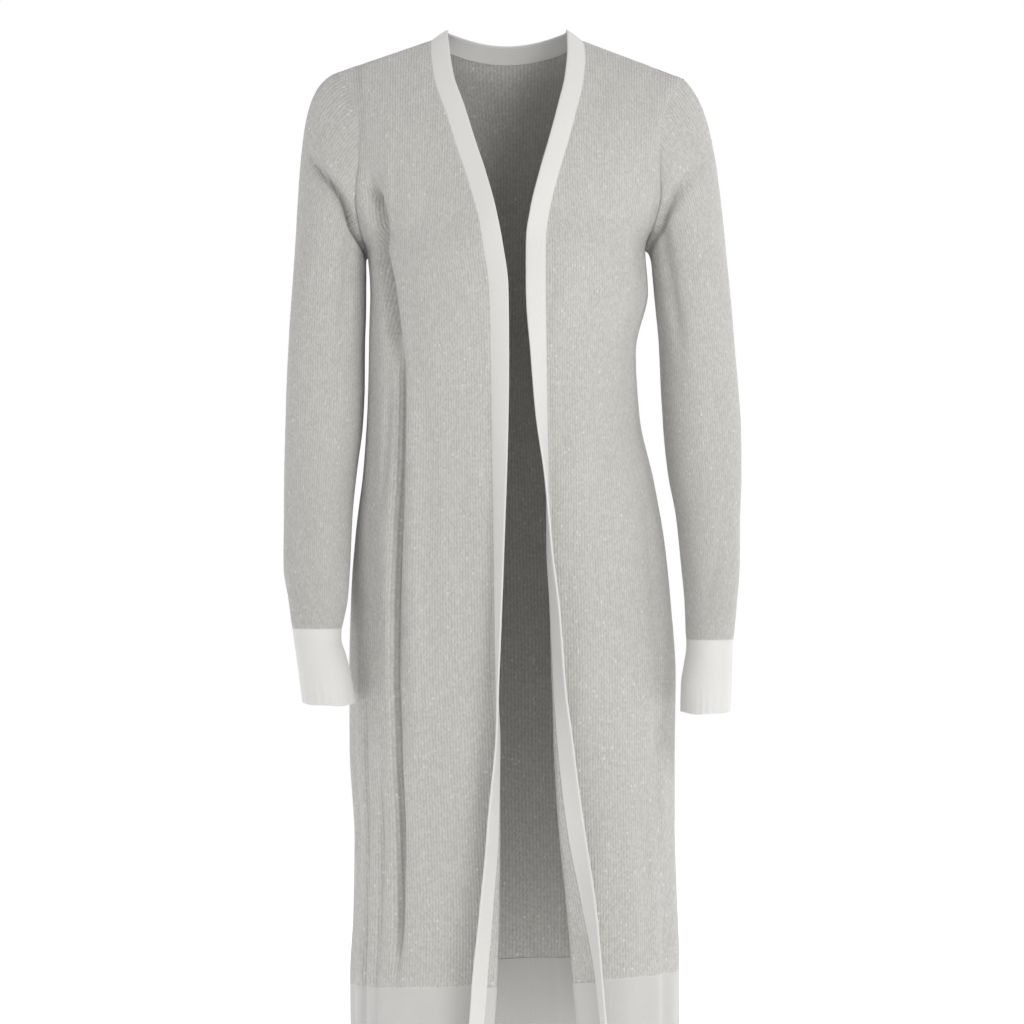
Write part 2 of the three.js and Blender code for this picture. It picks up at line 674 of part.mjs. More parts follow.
function frontPanel(name, rows) {
  const sign = SIDES[name] < 0 ? 1 : -1;
  const lines = rows.map((row) => frontRow(name, row));
  const points = lines.map((line) => line.map((station) => tilted(station.point)));
  const normals = gridNormals(points, sign);
  rows.forEach((row, i) => {
    const last = points[i].length - 1;
    normals[i][last] = bandSeam(name, row).seamNormal;
    if (row <= UNDERARM_ROW) {
      normals[i][0] = sideNormal(name, row);
      points[i][0].y -= SEAM_GAP / 2;
    }
    if (row === SHOULDER_ROW) {
      for (let j = 0; j < last; j++) normals[i][j] = shoulderNormal(name);
      for (const point of points[i]) point.y -= SEAM_GAP / 2;
    }
  });
  const moved = points.map((line, i) => {
    const length = line[0].distanceTo(line[MAIN_COLUMNS]) * ROW_FULLNESS;
    return line.map((point, j) => {
      const at = lines[i][j].share;
      const fade = smooth(0, CREASE_EDGE_FADE, at) * smooth(1, 1 - CREASE_EDGE_FADE, at);
      const shift = creaseShift(CREASES["front_" + name], rows[i], at, length, fade);
      return point.clone().addScaledVector(normals[i][j], shift);
    });
  });
  return { points: moved, normals };
}

function backPanel(rows) {
  const shares = [];
  for (let j = 0; j <= BACK_HALF_COLUMNS; j++) {
    shares.push({ name: "right", t: j / BACK_HALF_COLUMNS });
  }
  for (let j = BACK_HALF_COLUMNS - 1; j >= 0; j--) {
    shares.push({ name: "left", t: j / BACK_HALF_COLUMNS });
  }
  const points = rows.map((row) => shares.map(({ name, t }) => tilted(backPoint(name, row, t))));
  const normals = gridNormals(points, -1);
  const last = shares.length - 1;
  rows.forEach((row, i) => {
    if (row <= UNDERARM_ROW) {
      normals[i][0] = sideNormal("right", row);
      normals[i][last] = sideNormal("left", row);
      points[i][0].y += SEAM_GAP / 2;
      points[i][last].y += SEAM_GAP / 2;
    }
    if (row === SHOULDER_ROW) {
      shares.forEach(({ name, t }, j) => {
        const onNeck = t * BACK_HALF_COLUMNS >= NECK_COLUMN;
        normals[i][j] = onNeck ? napeSeam(name, t).outward : shoulderNormal(name);
        if (t * BACK_HALF_COLUMNS <= NECK_COLUMN) points[i][j].y += SEAM_GAP / 2;
      });
    }
  });
  const moved = points.map((line, i) => {
    const half = line[0].distanceTo(line[BACK_HALF_COLUMNS]) * ROW_FULLNESS;
    return line.map((point, j) => {
      const { name, t } = shares[j];
      const at = SIDES[name] * (1 - t);
      const fade = smooth(0, CREASE_EDGE_FADE, t);
      return point
        .clone()
        .addScaledVector(normals[i][j], creaseShift(CREASES.back, rows[i], at, half, fade));
    });
  });
  return { points: moved, normals };
}

// Armhole as a loop from the shoulder point down the front, under the arm and up the back
function armholeLoop(name, front, back) {
  const first = BODY_STEPS;
  const last = PANEL_ROWS.length - 1;
  const side = name === "right" ? 0 : back.points[0].length - 1;
  const loop = [];
  for (let i = last; i >= first; i--) {
    loop.push({ point: front.points[i][0], normal: front.normals[i][0] });
  }
  for (let i = first + 1; i < last; i++) {
    loop.push({ point: back.points[i][side], normal: back.normals[i][side] });
  }
  let length = 0;
  loop.forEach((stop, i) => {
    if (i > 0) length += stop.point.distanceTo(loop[i - 1].point);
    stop.length = length;
  });
  const under = loop[last - first].length;
  const whole = length + loop[0].point.distanceTo(loop[loop.length - 1].point);
  for (const stop of loop) {
    const share =
      stop.length <= under
        ? (FRONT_SHARE * stop.length) / under
        : FRONT_SHARE + ((1 - FRONT_SHARE) * (stop.length - under)) / (whole - under);
    stop.angle = 2 * Math.PI * share;
  }
  return loop;
}

function ringPoint(ring, name, z, angle) {
  const middle = (ring.outX(z) + ring.inX(z)) / 2;
  const half = Math.abs(ring.outX(z) - ring.inX(z)) / 2;
  return new THREE.Vector3(
    middle + SIDES[name] * half * Math.cos(angle),
    ring.y(z) - ring.deep(z) * Math.sin(angle),
    z,
  );
}

function sleeve(name, loop) {
  const ring = sleeves[name];
  const top = SLEEVE[name][0].z;
  const bottom = SLEEVE[name][SLEEVE[name].length - 1].z;
  const slope = new THREE.Vector3(SIDES[name], 0, SHOULDER_SLOPE[name]).normalize();
  const drop = new THREE.Vector3(SIDES[name] * UNDERARM_LEAN, 0, -1).normalize();
  const paths = loop.map(({ point, normal, angle }) => {
    const under = (1 - Math.cos(angle)) / 2;
    const leave = slope.clone().lerp(drop, under).normalize();
    const from = point
      .clone()
      .addScaledVector(leave, SEAM_GAP)
      .addScaledVector(normal, SEAM_GAP * under);
    const to = ringPoint(ring, name, top, angle);
    const above = ringPoint(ring, name, top - 1, angle);
    const rise = to.clone().sub(above).normalize();
    const span = from.distanceTo(to);
    return [
      from,
      from.clone().addScaledVector(leave, span * HEAD_REACH),
      to.clone().addScaledVector(rise, span * ARM_REACH),
      to,
    ];
  });
  const points = [];
  for (const t of steps(0, 1, CAP_STEPS)) points.push(paths.map((path) => bezier(path, t)));
  for (const z of steps(top, bottom, ARM_STEPS).slice(1)) {
    points.push(loop.map(({ angle }) => ringPoint(ring, name, z, angle)));
  }
  const normals = gridNormals(points, SIDES[name], true);
  loop.forEach(({ normal, angle }, j) => {
    if (-Math.cos(angle) < FOLDED_OVER) normals[0][j] = normal.clone();
  });
  levelNormals(normals[normals.length - 1]);
  const moved = points.map((line, i) => {
    const fade = smooth(0, CAP_STEPS / 2, i) * smooth(points.length - 1, points.length - 3, i);
    return line.map((point, j) => {
      const shift = fade * sleeveShift(name, point.z, loop[j].angle);
      return point.clone().addScaledVector(normals[i][j], shift);
    });
  });
  return { points: moved, normals };
}

function sleeveShift(name, z, angle) {
  let shift = 0;
  for (const crease of SLEEVE_CREASES[name]) {
    const share = (z - crease.z) / (crease.toZ - crease.z);
    const fade = SLEEVE_CREASE_FADE / Math.abs(crease.toZ - crease.z);
    const ends = smooth(-fade, fade, share) * smooth(1 + fade, 1 - fade, share);
    const centre = THREE.MathUtils.degToRad(mix(crease.around, crease.toAround, share));
    const distance = ((angle - centre) * SLEEVE.right[0].deep) / crease.width;
    shift -= crease.depth * Math.exp(-distance * distance) * ends;
  }
  return shift;
}

function levelNormals(normals) {
  for (const normal of normals) normal.setZ(0).normalize();
}

function cuff(name, loop) {
  const table = CUFF[name];
  const rows = steps(table[0].z, table[table.length - 1].z, CUFF_STEPS);
  const points = rows.map((z) =>
    loop.map(({ angle }) => ringPoint(cuffs[name], name, z, angle)),
  );
  const normals = gridNormals(points, SIDES[name], true);
  levelNormals(normals[0]);
  levelNormals(normals[CUFF_STEPS]);
  return { points, normals };
}

function bandHalf(name) {
  const seams = [...HEM_ROWS.slice(0, -1), ...PANEL_ROWS].map((row) => bandSeam(name, row));
  for (let j = NECK_COLUMN + 1; j <= BACK_HALF_COLUMNS; j++) {
    seams.push(napeSeam(name, j / BACK_HALF_COLUMNS));
  }
  const points = seams.map(({ point, ahead }, i) => {
    const start = tilted(point).addScaledVector(ahead, SEAM_GAP);
    if (i === seams.length - 1) start.x += (SIDES[name] * SEAM_GAP) / 2;
    return BAND_STOPS.map((share) => start.clone().addScaledVector(ahead, BAND_WIDTH * share));
  });
  const normals = seams.map(({ outward, seamNormal }) => [seamNormal, outward, outward]);
  return { points, normals };
}

function piece(name, { points, normals }, thickness, material, wrap = false) {
  const mesh = new THREE.Mesh(wall(points, normals, thickness, wrap), material);
  mesh.name = name;
  return mesh;
}

const group = new THREE.Group();
group.name = "open_front_cardigan";

const back = backPanel(PANEL_ROWS);
group.add(piece("back", back, KNIT_WALL, knitMaterial()));
group.add(piece("hem_back", backPanel(HEM_ROWS), TRIM_WALL, trimMaterial()));

for (const name of Object.keys(SIDES)) {
  const front = frontPanel(name, PANEL_ROWS);
  const loop = armholeLoop(name, front, back);
  group.add(piece("front_" + name, front, KNIT_WALL, knitMaterial()));
  group.add(piece("hem_front_" + name, frontPanel(name, HEM_ROWS), TRIM_WALL, trimMaterial()));
  group.add(piece("band_" + name, bandHalf(name), TRIM_WALL, trimMaterial()));
  group.add(piece("sleeve_" + name, sleeve(name, loop), KNIT_WALL, knitMaterial(), true));
  group.add(piece("cuff_" + name, cuff(name, loop), TRIM_WALL, trimMaterial(), true));
}

export default group;
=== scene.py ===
"""A long open-front cardigan in fine rib knit, in the hollow form it has when worn."""

import functools
import math

import bpy
import numpy as np
from bpy.props import FloatProperty, FloatVectorProperty, IntProperty, PointerProperty
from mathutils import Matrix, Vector


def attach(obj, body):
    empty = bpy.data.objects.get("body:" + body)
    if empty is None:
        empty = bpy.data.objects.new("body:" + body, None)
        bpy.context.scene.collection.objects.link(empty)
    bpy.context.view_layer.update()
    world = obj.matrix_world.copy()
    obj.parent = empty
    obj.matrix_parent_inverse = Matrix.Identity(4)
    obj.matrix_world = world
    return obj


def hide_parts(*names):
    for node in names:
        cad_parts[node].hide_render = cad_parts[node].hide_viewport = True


bl_info = {
    "name": "Open-front cardigan",
    "version": (1, 0, 0),
    "blender": (4, 5, 0),
    "location": "View3D > Sidebar > Cardigan",
    "description": "Makes a long open-front cardigan in fine rib knit, in its worn form",
    "category": "Add Mesh",
}

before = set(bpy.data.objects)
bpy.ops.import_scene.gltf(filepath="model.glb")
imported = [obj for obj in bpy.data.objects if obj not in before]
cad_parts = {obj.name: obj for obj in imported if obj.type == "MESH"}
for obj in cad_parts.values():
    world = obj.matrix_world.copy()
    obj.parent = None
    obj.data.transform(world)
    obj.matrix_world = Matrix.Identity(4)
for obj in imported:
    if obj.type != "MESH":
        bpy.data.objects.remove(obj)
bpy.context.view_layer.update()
BODY = "root"
MM = 0.001

# Knit and trim sizes, in millimetres as all lengths of the form are
KNIT_WALL = 2.0
TRIM_WALL = 2.4
SEAM_GAP = 0.3
BAND_WIDTH = 21.0
BEND_RADIUS = 5.0
RIB_PITCH = 2.8
COURSE = 1.4
TRIM_LINE = 1.8  # from one fine cross line of a trim to the next
CLOSED_GAP = 0.02  # what is left of a seam's gap once the stitches draw it shut
STITCH_SINK = 0.15  # how deep a linking stitch lies in the cloth

# How the hem seam runs lower on the wearer's right and at both sides
HEM_TILT = 0.05
HEM_SIDE_DROP = 6.0
HEM_HALF_WIDTH = 180.0
TILT_STARTS_Z = -400.0
TILT_FULL_Z = -1031.0

# Rows of the front tables: 0 hem edge, 1 hem seam, 12 underarm, 20 shoulder seam
HEM_ROW = 0
PANEL_ROW = 1
UNDERARM_ROW = 12
YOKE_ROW = 15
SHOULDER_ROW = 20
AT_UNDERARM = np.array([float(UNDERARM_ROW)])
AT_SHOULDER = np.array([float(SHOULDER_ROW)])
ROW_STEP = 0.02  # for slopes from row to row

# Section shape: how far each end of a row keeps its own direction
SIDE_REACH = 0.62
EDGE_REACH = 0.5
CHEST_LIFT = -0.06
NECK_SHARE = 6 / 11  # where the shoulder seam ends, on the back's half row
SHARE_STEP = 0.01  # for slopes along that row

# Sleeve head shape
HEAD_REACH = 0.2
ARM_REACH = 0.59
FOLDED_OVER = 0.1
UNDERARM_LEAN = 0.15
HEAD_BLEND_ROWS = 3
CUFF_BLEND_ROWS = 4
CAP_CREASE_FADE = 0.3
SLEEVE_SWELL = 0.6  # of the swell of the body

# The back's yoke is eased over these rows, below and at its top
EASING_ROUNDS = 110
EASING_SHARE = 0.5
EASING_LOW_ROWS = 1
EASING_TOP_ROWS = 1.2

# Cuff: its rolled end, its uneven length and its flutes. A wave is its size, its count
# round the arm and its phase.
CUFF_ROLL = 0.35
CUFF_WAVE = 0.8
CUFF_WAVES = ((1.0, 2, 1.1), (0.5, 5, 0.4))
CUFF_FLUTE = 0.45
CUFF_FLUTES = 23
FLUTES_START = 0.55
FLUTE_DRIFT = 1.5
FLUTE_DRIFTS = 3
FLUTE_EVENNESS = 0.6
FLUTE_GROUPS = 4
FLUTE_PHASE = 2.0

# Band: how much it swells over its width, and where it has turned to its own direction
BAND_CROWN = 0.5
CROWN_POWER = 0.7
BAND_TURN_SHARE = 0.3

# Slow swell of hanging cloth: its waves and their lengths across and along the cloth
SWELL_WAVES = 5
SWELL_ACROSS = (34.0, 90.0)
SWELL_ALONG = (220.0, 700.0)
SWELL_HEIGHT = 1.5
FRONT_SEEDS = {"right": 11, "left": 12}
BACK_SEED = 13
SLEEVE_SEEDS = {"right": 14, "left": 15}

# Grid density
BODY_STEPS = 84
ARMHOLE_STEPS = 30
HEM_STEPS = 14
CAP_STEPS = 24
ARM_STEPS = 56
CUFF_STEPS = 16
ROW_SAMPLES = 64
SLEEVE_WALES = 100
HALF_BACK_WALES = 67
HELD_RIB_X = 112.0  # the rib that runs straight up to the shoulder, from the centre
SHOULDER_SPREAD = 1.12  # how much wider the ribs are at the shoulder
WALE_STOPS = (0.0, 0.3, 0.5, 0.7)  # columns over one rib, from its crest
CUFF_COLUMNS = 132
HEM_COLUMNS = 90
BAND_COLUMNS = 9
NAPE_STEPS = 22
ROLL_STEPS = 4
SHOULDER_POINTS = 12
ARMHOLE_POINTS = 181
EDGE_BLEND = 10.0
RIB_FADE = 2.6
INNER_RIB = 0.5  # height of the ribs inside, as a share of those outside
SHARP = math.radians(55)
FLAT_STEP = 1e-6
TINY = 1e-9

# Noise of the ribs' unevenness, and the ball that each stitch's leg is drawn out of
UNEVEN_SCALE = 260.0
UNEVEN_DETAIL = 1.0
LEG_SEGMENTS = 6
LEG_RINGS = 4
LEG_RADIUS = 0.5

# Finishes: roughness, sheen weight and specular level
RIB_FINISH = (0.72, 0.25, 0.35)
TRIM_FINISH = (0.85, 0.3, 0.3)
THREAD_FINISH = (0.8, 0.25, 0.3)
SHEEN_ROUGHNESS = 0.45
FLOOR_ROUGHNESS = 0.9

# Rib knit: how its loops lean, how its brightness varies at random, the painted shade in its
# valleys and between its loops, the painted glint lift of its metallic thread, its metal and its
# surface
RIB_LEAN = 1.1
CREST_POWER = 0.6
GLINT_COURSES = 2.0
LOOP_PAINTED_SHADE = 0.06
SPECK_CONTRAST = 0.2
RIB_CLOUD = (9.0, 0.06)  # scale, contrast
# Painted highlight: how much brighter the colour of a glinting loop is painted
PAINTED_GLINT_BRIGHTER = 0.16
GLINT_METAL = 0.4
GLINT_POLISH = 0.4
KNIT_METAL = 0.04
RIB_FUZZ = (900.0, 0.8)  # scale, share of the loops' height
RIB_BUMP = 0.0004

# Trim knit and thread
TRIM_LEAN = 0.8
TRIM_CLOUD = (14.0, 0.05)
TRIM_GRAIN = (700.0, 0.08)
TRIM_LOOPS = 0.7
TRIM_FUZZ = (1100.0, 0.7)
TRIM_BUMP = 0.00016
THREAD_GRAIN = 1400.0
THREAD_SHADE = (0.16, 0.9)
THREAD_FUZZ = 2200.0
THREAD_BUMP = 0.0001

# Stage, in metres
WHITE = (1.0, 1.0, 1.0, 1.0)
FLOOR_SIZE = 14.0
FLOOR_CLOUD = (1.5, 0.01)
CAMERA_PLACE = (0.0022, -4.0, -0.5258)
LENS_MM = 127.84
SENSOR_MM = 36.0

# Lights: place, what each points at and its width
KEY_LIGHT = ((1.6, -2.3, 1.2), (0.0, 0.0, -0.35), 1.3)
LOW_FILL = ((-0.6, -3.0, -1.1), (0.0, 0.0, -0.7), 1.6)
SIDE_LIGHT = ((-2.4, 0.4, 0.3), (0.0, 0.0, -0.4), 1.4)
BACK_LIGHT = ((2.4, 2.2, 0.7), (0.0, 0.0, -0.5), 1.2)

SIDES = {"right": -1, "left": 1}

# side: side seam or armhole edge; edge: where the front edge starts to bend; turn: degrees
# that the row leaves the side towards the centre; bend: degrees that the front edge is
# turned out; fold: knit past the bend, up to the band seam; band: degrees that the band
# itself is turned out
FRONT_NAMES = (
    "side_x", "side_y", "side_z", "edge_x", "edge_y", "edge_z",
    "turn", "bend", "fold", "band",
)
FRONT = {
    "right": (
        (-175, 4, -1111, -28, -115, -1111, 4, 144, 11, 130),
        (-176, 4, -1031, -21, -114, -1031, 4, 142, 10.5, 137),
        (-172, 4, -950, -18.5, -112, -950, 3, 133, 8, 130),
        (-171, 3, -870, -17.5, -110, -870, 3, 124, 2, 124),
        (-176, 3, -780, -17.5, -109, -780, 3, 103, 0.5, 103),
        (-176.5, 3, -700, -20.5, -109, -700, 3, 86, 0, 86),
        (-174.5, 2, -615, -21.5, -109, -615, 3, 72, 0, 72),
        (-169, 2, -545, -22, -109, -545, 3, 61, 0, 61),
        (-160.5, 2, -475, -22.5, -111, -475, 2, 48, 0, 48),
        (-156, 2, -400, -22.5, -114, -400, 2, 36, 0, 36),
        (-154.5, 3, -335, -23, -117, -335, 2, 29, 0, 29),
        (-153, 4, -285, -24, -118, -285, 2, 22, 0, 22),
        (-156, 4, -246, -29, -116, -246, 4, 16, 0, 16),
        (-164, -30, -216, -34.5, -111, -210, 30, 10, 0, 10),
        (-168, -46, -180, -45, -101, -170, 48, 5, 0, 5),
        (-164, -50, -140, -57.5, -87, -132, 58, 3, 0, 3),
        (-165, -43, -104, -69.5, -69, -93, 66, 3, 0, 3),
        (-172, -28, -74, -81.5, -47, -58, 74, 6, 0, 6),
        (-180, -13, -54, -86.5, -24, -28, 82, 10, 0, 10),
        (-186, -3, -45, -88, -6, -12, 88, 15, 0, 15),
        (-189.5, 5, -41.8, -87.5, 8, -6.6, 90, 18, 0, 18),
    ),
    "left": (
        (186, 0, -1111, 82, -115, -1111, 8, 142, 27, 100),
        (186, 0, -1031, 74, -114, -1031, 8, 143, 26, 104),
        (183, 0, -950, 67, -112, -950, 8, 143, 17, 127),
        (180.5, -1, -870, 59, -110, -870, 8, 146, 7.5, 144),
        (180.5, -2, -790, 54, -109, -790, 8, 138, 3.6, 138),
        (181.5, -2, -710, 51.5, -109, -710, 8, 121, 1.7, 121),
        (176.5, -2, -630, 49, -109, -630, 7, 114, 0.5, 114),
        (169.5, -1, -560, 46, -109, -560, 6, 101, 0, 101),
        (157, 0, -490, 46, -111, -490, 5, 84, 0, 84),
        (142, 1, -420, 44, -114, -420, 4, 59, 0, 59),
        (138, 2, -350, 42, -117, -350, 3, 40, 0, 40),
        (151.5, 4, -285, 39, -118, -285, 3, 12, 0, 12),
        (148.5, 4, -238, 38.5, -116, -238, 4, 4, 0, 4),
        (158, -28, -210, 42, -111, -206, 30, 3, 0, 3),
        (164, -45, -178, 51, -101, -168, 48, 3, 0, 3),
        (163, -50, -140, 62, -87, -130, 58, 3, 0, 3),
        (165, -43, -106, 72, -69, -92, 66, 3, 0, 3),
        (172, -28, -80, 80, -47, -58, 74, 6, 0, 6),
        (181, -13, -61, 83, -24, -28, 82, 10, 0, 10),
        (187, -3, -52, 82, -6, -12, 88, 15, 0, 15),
        (190.9, 5, -49, 80.5, 8, -7, 90, 18, 0, 18),
    ),
}

# Back, by the same rows up to the yoke: its centre line and its armholes
BACK_NAMES = ("x", "y", "z")
BACK_CENTRE = (
    (5, 118, -1111), (5, 117, -1031), (5, 116, -950), (4, 116, -870),
    (3, 115.5, -785), (3, 115, -705), (2, 114, -622), (1, 110, -552),
    (0, 100, -482), (-2, 87, -410), (-3, 81, -342), (-2, 88, -287),
    (-2, 96, -242), (-2, 101, -206), (-2, 104, -171), (-2, 103, -136),
)
ARMHOLE_NAMES = ("x", "y", "z", "turn")
BACK_ARMHOLE = {
    "right": ((-156, 4, -246, 4), (-162, 36, -214, 30), (-166, 57, -178, 48), (-166, 64, -140, 56)),
    "left": ((148.5, 4, -238, 4), (157, 35, -208, 30), (164, 56, -176, 48), (165, 64, -140, 56)),
}
NAPE = np.array((-3.5, 75.0, -25.0))
NAPE_RISE = np.array((0, -0.35, 0.94))
SHOULDER_RISE = np.array((0, -0.95, 0.3))
BAND_AT_NAPE = np.array((0, -0.28, 0.96))

# Sleeves and cuffs, by height: outer and inner side, middle and half depth front to back
RING_NAMES = ("z", "out_x", "in_x", "y", "deep")
SLEEVE = {
    "right": (
        (-262, -238.3, -158.6, 3, 48),
        (-305, -241.8, -158.6, 3, 48),
        (-340, -243.9, -159.4, 2, 47.5),
        (-390, -245.9, -159.6, -1, 47),
        (-430, -246.5, -161.5, -4, 46),
        (-480, -247, -168, -10, 44),
        (-530, -246.5, -173, -20, 42),
        (-585, -245.9, -175.2, -35, 39),
        (-620, -240.2, -177, -47, 35),
        (-652, -235.8, -182.6, -57, 31),
    ),
    "left": (
        (-256, 239.3, 155.8, 3, 48),
        (-300, 243.8, 160, 3, 48),
        (-340, 246.9, 164, 2, 47.5),
        (-390, 250.8, 166.5, -1, 47),
        (-440, 253.6, 169.6, -5, 46),
        (-485, 253.4, 174.4, -11, 44),
        (-530, 251.3, 182.4, -20, 42),
        (-585, 249.9, 187.4, -33, 39),
        (-625, 246.2, 190.3, -46, 35),
        (-664, 241.9, 191.2, -57, 31),
    ),
}
CUFF = {
    "right": (
        (-652.3, -235.8, -182.6, -57.1, 31),
        (-663, -234.2, -182.9, -59, 30),
        (-680, -231.7, -177.6, -62, 30.5),
        (-705, -228, -171.4, -65, 32),
        (-733, -224, -167.4, -67, 33),
    ),
    "left": (
        (-664.3, 241.9, 191.2, -57.1, 31),
        (-674, 241.3, 191, -59, 30),
        (-690, 240.8, 188.4, -61, 30.5),
        (-712, 240.2, 185, -64, 32),
        (-742, 237.8, 184.3, -66, 33),
    ),
}
SHOULDER_SLOPE = {"right": -0.38, "left": -1.1}
ARM_HALF_DEPTH = SLEEVE["right"][0][4]
HEM_DEPTH = FRONT["left"][1][2] - FRONT["left"][0][2]

# Long soft creases: row, share of the row from the side, to row, to share, depth, width.
# A negative depth is a ridge.
CREASES = {
    "front_right": (
        (10.3, 0.47, 0.8, 0.5, 12.5, 6.5),
        (9.6, 0.38, 7, 0.35, 4.5, 7),
        (9.8, 0.57, 1.4, 0.61, -3, 12),
        (4.4, 0.38, 0, 0.36, 4, 6),
        (5.4, 0.27, 0, 0.25, 4, 5.5),
        (14.8, 0.16, 9.2, 0.45, 18, 11),
        (14.2, 0.02, 13.5, 0.36, 4, 11),
        (12.6, 0.14, 9, 0.2, -2, 10),
        (6, 0.14, 0, 0.12, 3, 10),
    ),
    "front_left": (
        (12, 0.74, 9.8, 0.7, 3, 11),
        (8.4, 0.3, 0, 0.34, 3, 11),
        (12.5, 0.17, 10.9, 0.2, 4, 11),
        (6.5, 0.62, 1, 0.58, -2, 13),
    ),
    "back": (
        (11.4, -0.42, 6, -0.36, 7, 11),
        (10.6, 0.34, 4.2, 0.4, 6.5, 10),
        (7, -0.16, 0, -0.2, 7, 13),
        (6.2, 0.16, 0, 0.2, 6.5, 12),
        (5, -0.58, 0, -0.62, 6, 11),
        (5.4, 0.62, 0, 0.6, 5.5, 11),
        (11.2, -0.18, 8.6, -0.1, 4, 10),
        (11, 0.12, 8.8, 0.2, -3, 12),
        (14.4, -0.66, 12.2, -0.84, 5, 12),
        (14.4, 0.66, 12.2, 0.84, 5, 12),
    ),
}
CREASE_FADE_ROWS = 1.2
CREASE_EDGE_FADE = 0.07
ROW_FULLNESS = 1.15

# Sleeve creases: height, degrees round the arm (0 outside, 90 front, 180 inside), to height,
# to degrees, depth, width
SLEEVE_CREASES = {
    "right": (
        (-144, 36, -232, 156, 14, 8),
        (-205, 128, -330, 118, 3, 10),
        (-160, 300, -236, 212, 6, 10),
        (-420, 205, -500, 250, 3, 10),
        (-520, 60, -610, 100, 2, 10),
    ),
    "left": (
        (-156, 60, -228, 156, 10, 9),
        (-205, 132, -340, 120, 3, 10),
        (-158, 296, -232, 214, 6, 10),
        (-430, 200, -515, 246, 3, 10),
        (-530, 66, -625, 96, 2, 10),
    ),
}
SLEEVE_CREASE_FADE = 28.0
SLEEVE_END_FADE = 65.0


def smooth(start, end, value):
    t = np.clip((value - start) / (end - start), 0, 1)
    return t * t * (3 - 2 * t)


def mix(a, b, t):
    return a + (b - a) * t


def unit(v):
    return v / np.maximum(np.linalg.norm(v, axis=-1, keepdims=True), TINY)


def vec(x, y, z):
    return np.stack(np.broadcast_arrays(x, y, z), axis=-1).astype(float)


def lengths_along(points, axis=0):
    """Length from the first point of each line to every point of it."""
    steps = np.linalg.norm(np.diff(points, axis=axis), axis=-1)
    start = np.zeros_like(np.take(steps, [0], axis=axis))
    return np.concatenate((start, np.cumsum(steps, axis=axis)), axis=axis)


def column(x, y):
    """Monotone cubic through one column of a table."""
    chord = np.diff(y) / np.diff(x)
    product = chord[:-1] * chord[1:]
    total = np.where(product > 0, chord[:-1] + chord[1:], 1)
    inner = np.where(product > 0, 2 * product / total, 0)
    slope = np.concatenate((chord[:1], inner, chord[-1:]))
    way = 1 if x[-1] > x[0] else -1

    def at(position):
        place = np.asarray(position, float)
        i = np.clip(np.searchsorted(x * way, place * way) - 1, 0, len(x) - 2)
        h = x[i + 1] - x[i]
        t = (place - x[i]) / h
        a = (1 + 2 * t) * (1 - t) ** 2
        b = t * (1 - t) ** 2 * h
        c = t * t * (3 - 2 * t)
        d = t * t * (t - 1) * h
        return a * y[i] + b * slope[i] + c * y[i + 1] + d * slope[i + 1]

    return at


def columns_of(names, table, position=None):
    values = dict(zip(names, np.array(table, float).T))
    at = np.arange(len(table), dtype=float) if position is None else values[position]
    return {name: column(at, values[name]) for name in names if name != position}


FRONTS = {name: columns_of(FRONT_NAMES, FRONT[name]) for name in SIDES}
ARMHOLES = {name: columns_of(ARMHOLE_NAMES, BACK_ARMHOLE[name]) for name in SIDES}
BACK_LINE = columns_of(BACK_NAMES, BACK_CENTRE)
SLEEVE_RINGS = {name: columns_of(RING_NAMES, SLEEVE[name], "z") for name in SIDES}
CUFF_RINGS = {name: columns_of(RING_NAMES, CUFF[name], "z") for name in SIDES}


def bezier(controls, t):
    s = 1 - t
    weights = (s**3, 3 * s * s * t, 3 * s * t * t, t**3)
    return sum(p * np.asarray(w)[..., None] for p, w in zip(controls, weights))


def hem_tilt(points):
    x, z = points[..., 0], points[..., 2]
    share = smooth(TILT_STARTS_Z, TILT_FULL_Z, z)
    drop = share * (HEM_TILT * x - HEM_SIDE_DROP * (x / HEM_HALF_WIDTH) ** 4)
    tilted = points.copy()
    tilted[..., 2] += drop
    return tilted


def side_point(name, row):
    f = FRONTS[name]
    return vec(f["side_x"](row), f["side_y"](row), f["side_z"](row))


def edge_point(name, row):
    f = FRONTS[name]
    return vec(f["edge_x"](row), f["edge_y"](row), f["edge_z"](row))


def derivative(curve, row):
    low = np.maximum(HEM_ROW, row - ROW_STEP)
    high = np.minimum(SHOULDER_ROW, row + ROW_STEP)
    return (curve(high) - curve(low)) / (high - low)[..., None]


def leaving(start, end, turn, ahead):
    """Direction in which a row leaves its side, turned from straight ahead to the chord."""
    angle = np.radians(turn)[..., None]
    return unit(unit(end - start) * np.sin(angle) + ahead * np.cos(angle))


def front_controls(name, row):
    """Control points of a front's row, from its side to where its edge bends."""
    side, edge = side_point(name, row), edge_point(name, row)
    turn = FRONTS[name]["turn"](row)
    share = np.sin(np.radians(turn))[..., None]
    depth = np.abs(edge[..., 1:2] - side[..., 1:2])
    width = np.abs(edge[..., 0:1] - side[..., 0:1])
    third = np.linalg.norm(side - edge, axis=-1, keepdims=True) / 3
    out = leaving(side, edge, turn, np.array((0.0, -1.0, 0.0)))
    across = unit(np.array((SIDES[name], CHEST_LIFT, 0.0)))
    inward = unit(unit(side - edge) * share + across * (1 - share))
    return (
        side,
        side + out * mix(depth * SIDE_REACH, third, share),
        edge + inward * mix(width * EDGE_REACH, third, share),
        edge,
    )


def edge_frame(name, row):
    """Frame at the place where the front edge starts to bend."""
    controls = front_controls(name, row)
    along = unit(derivative(lambda r: edge_point(name, r), row))
    across = unit(controls[3] - controls[2])
    outward = unit(np.cross(across, along) * -SIDES[name])
    ahead = unit(np.cross(along, outward) * -SIDES[name])
    return controls[3], outward, ahead


def turned(outward, ahead, angle):
    """Both directions after a turn outwards."""
    c, s = np.cos(angle)[..., None], np.sin(angle)[..., None]
    return outward * c - ahead * s, ahead * c + outward * s


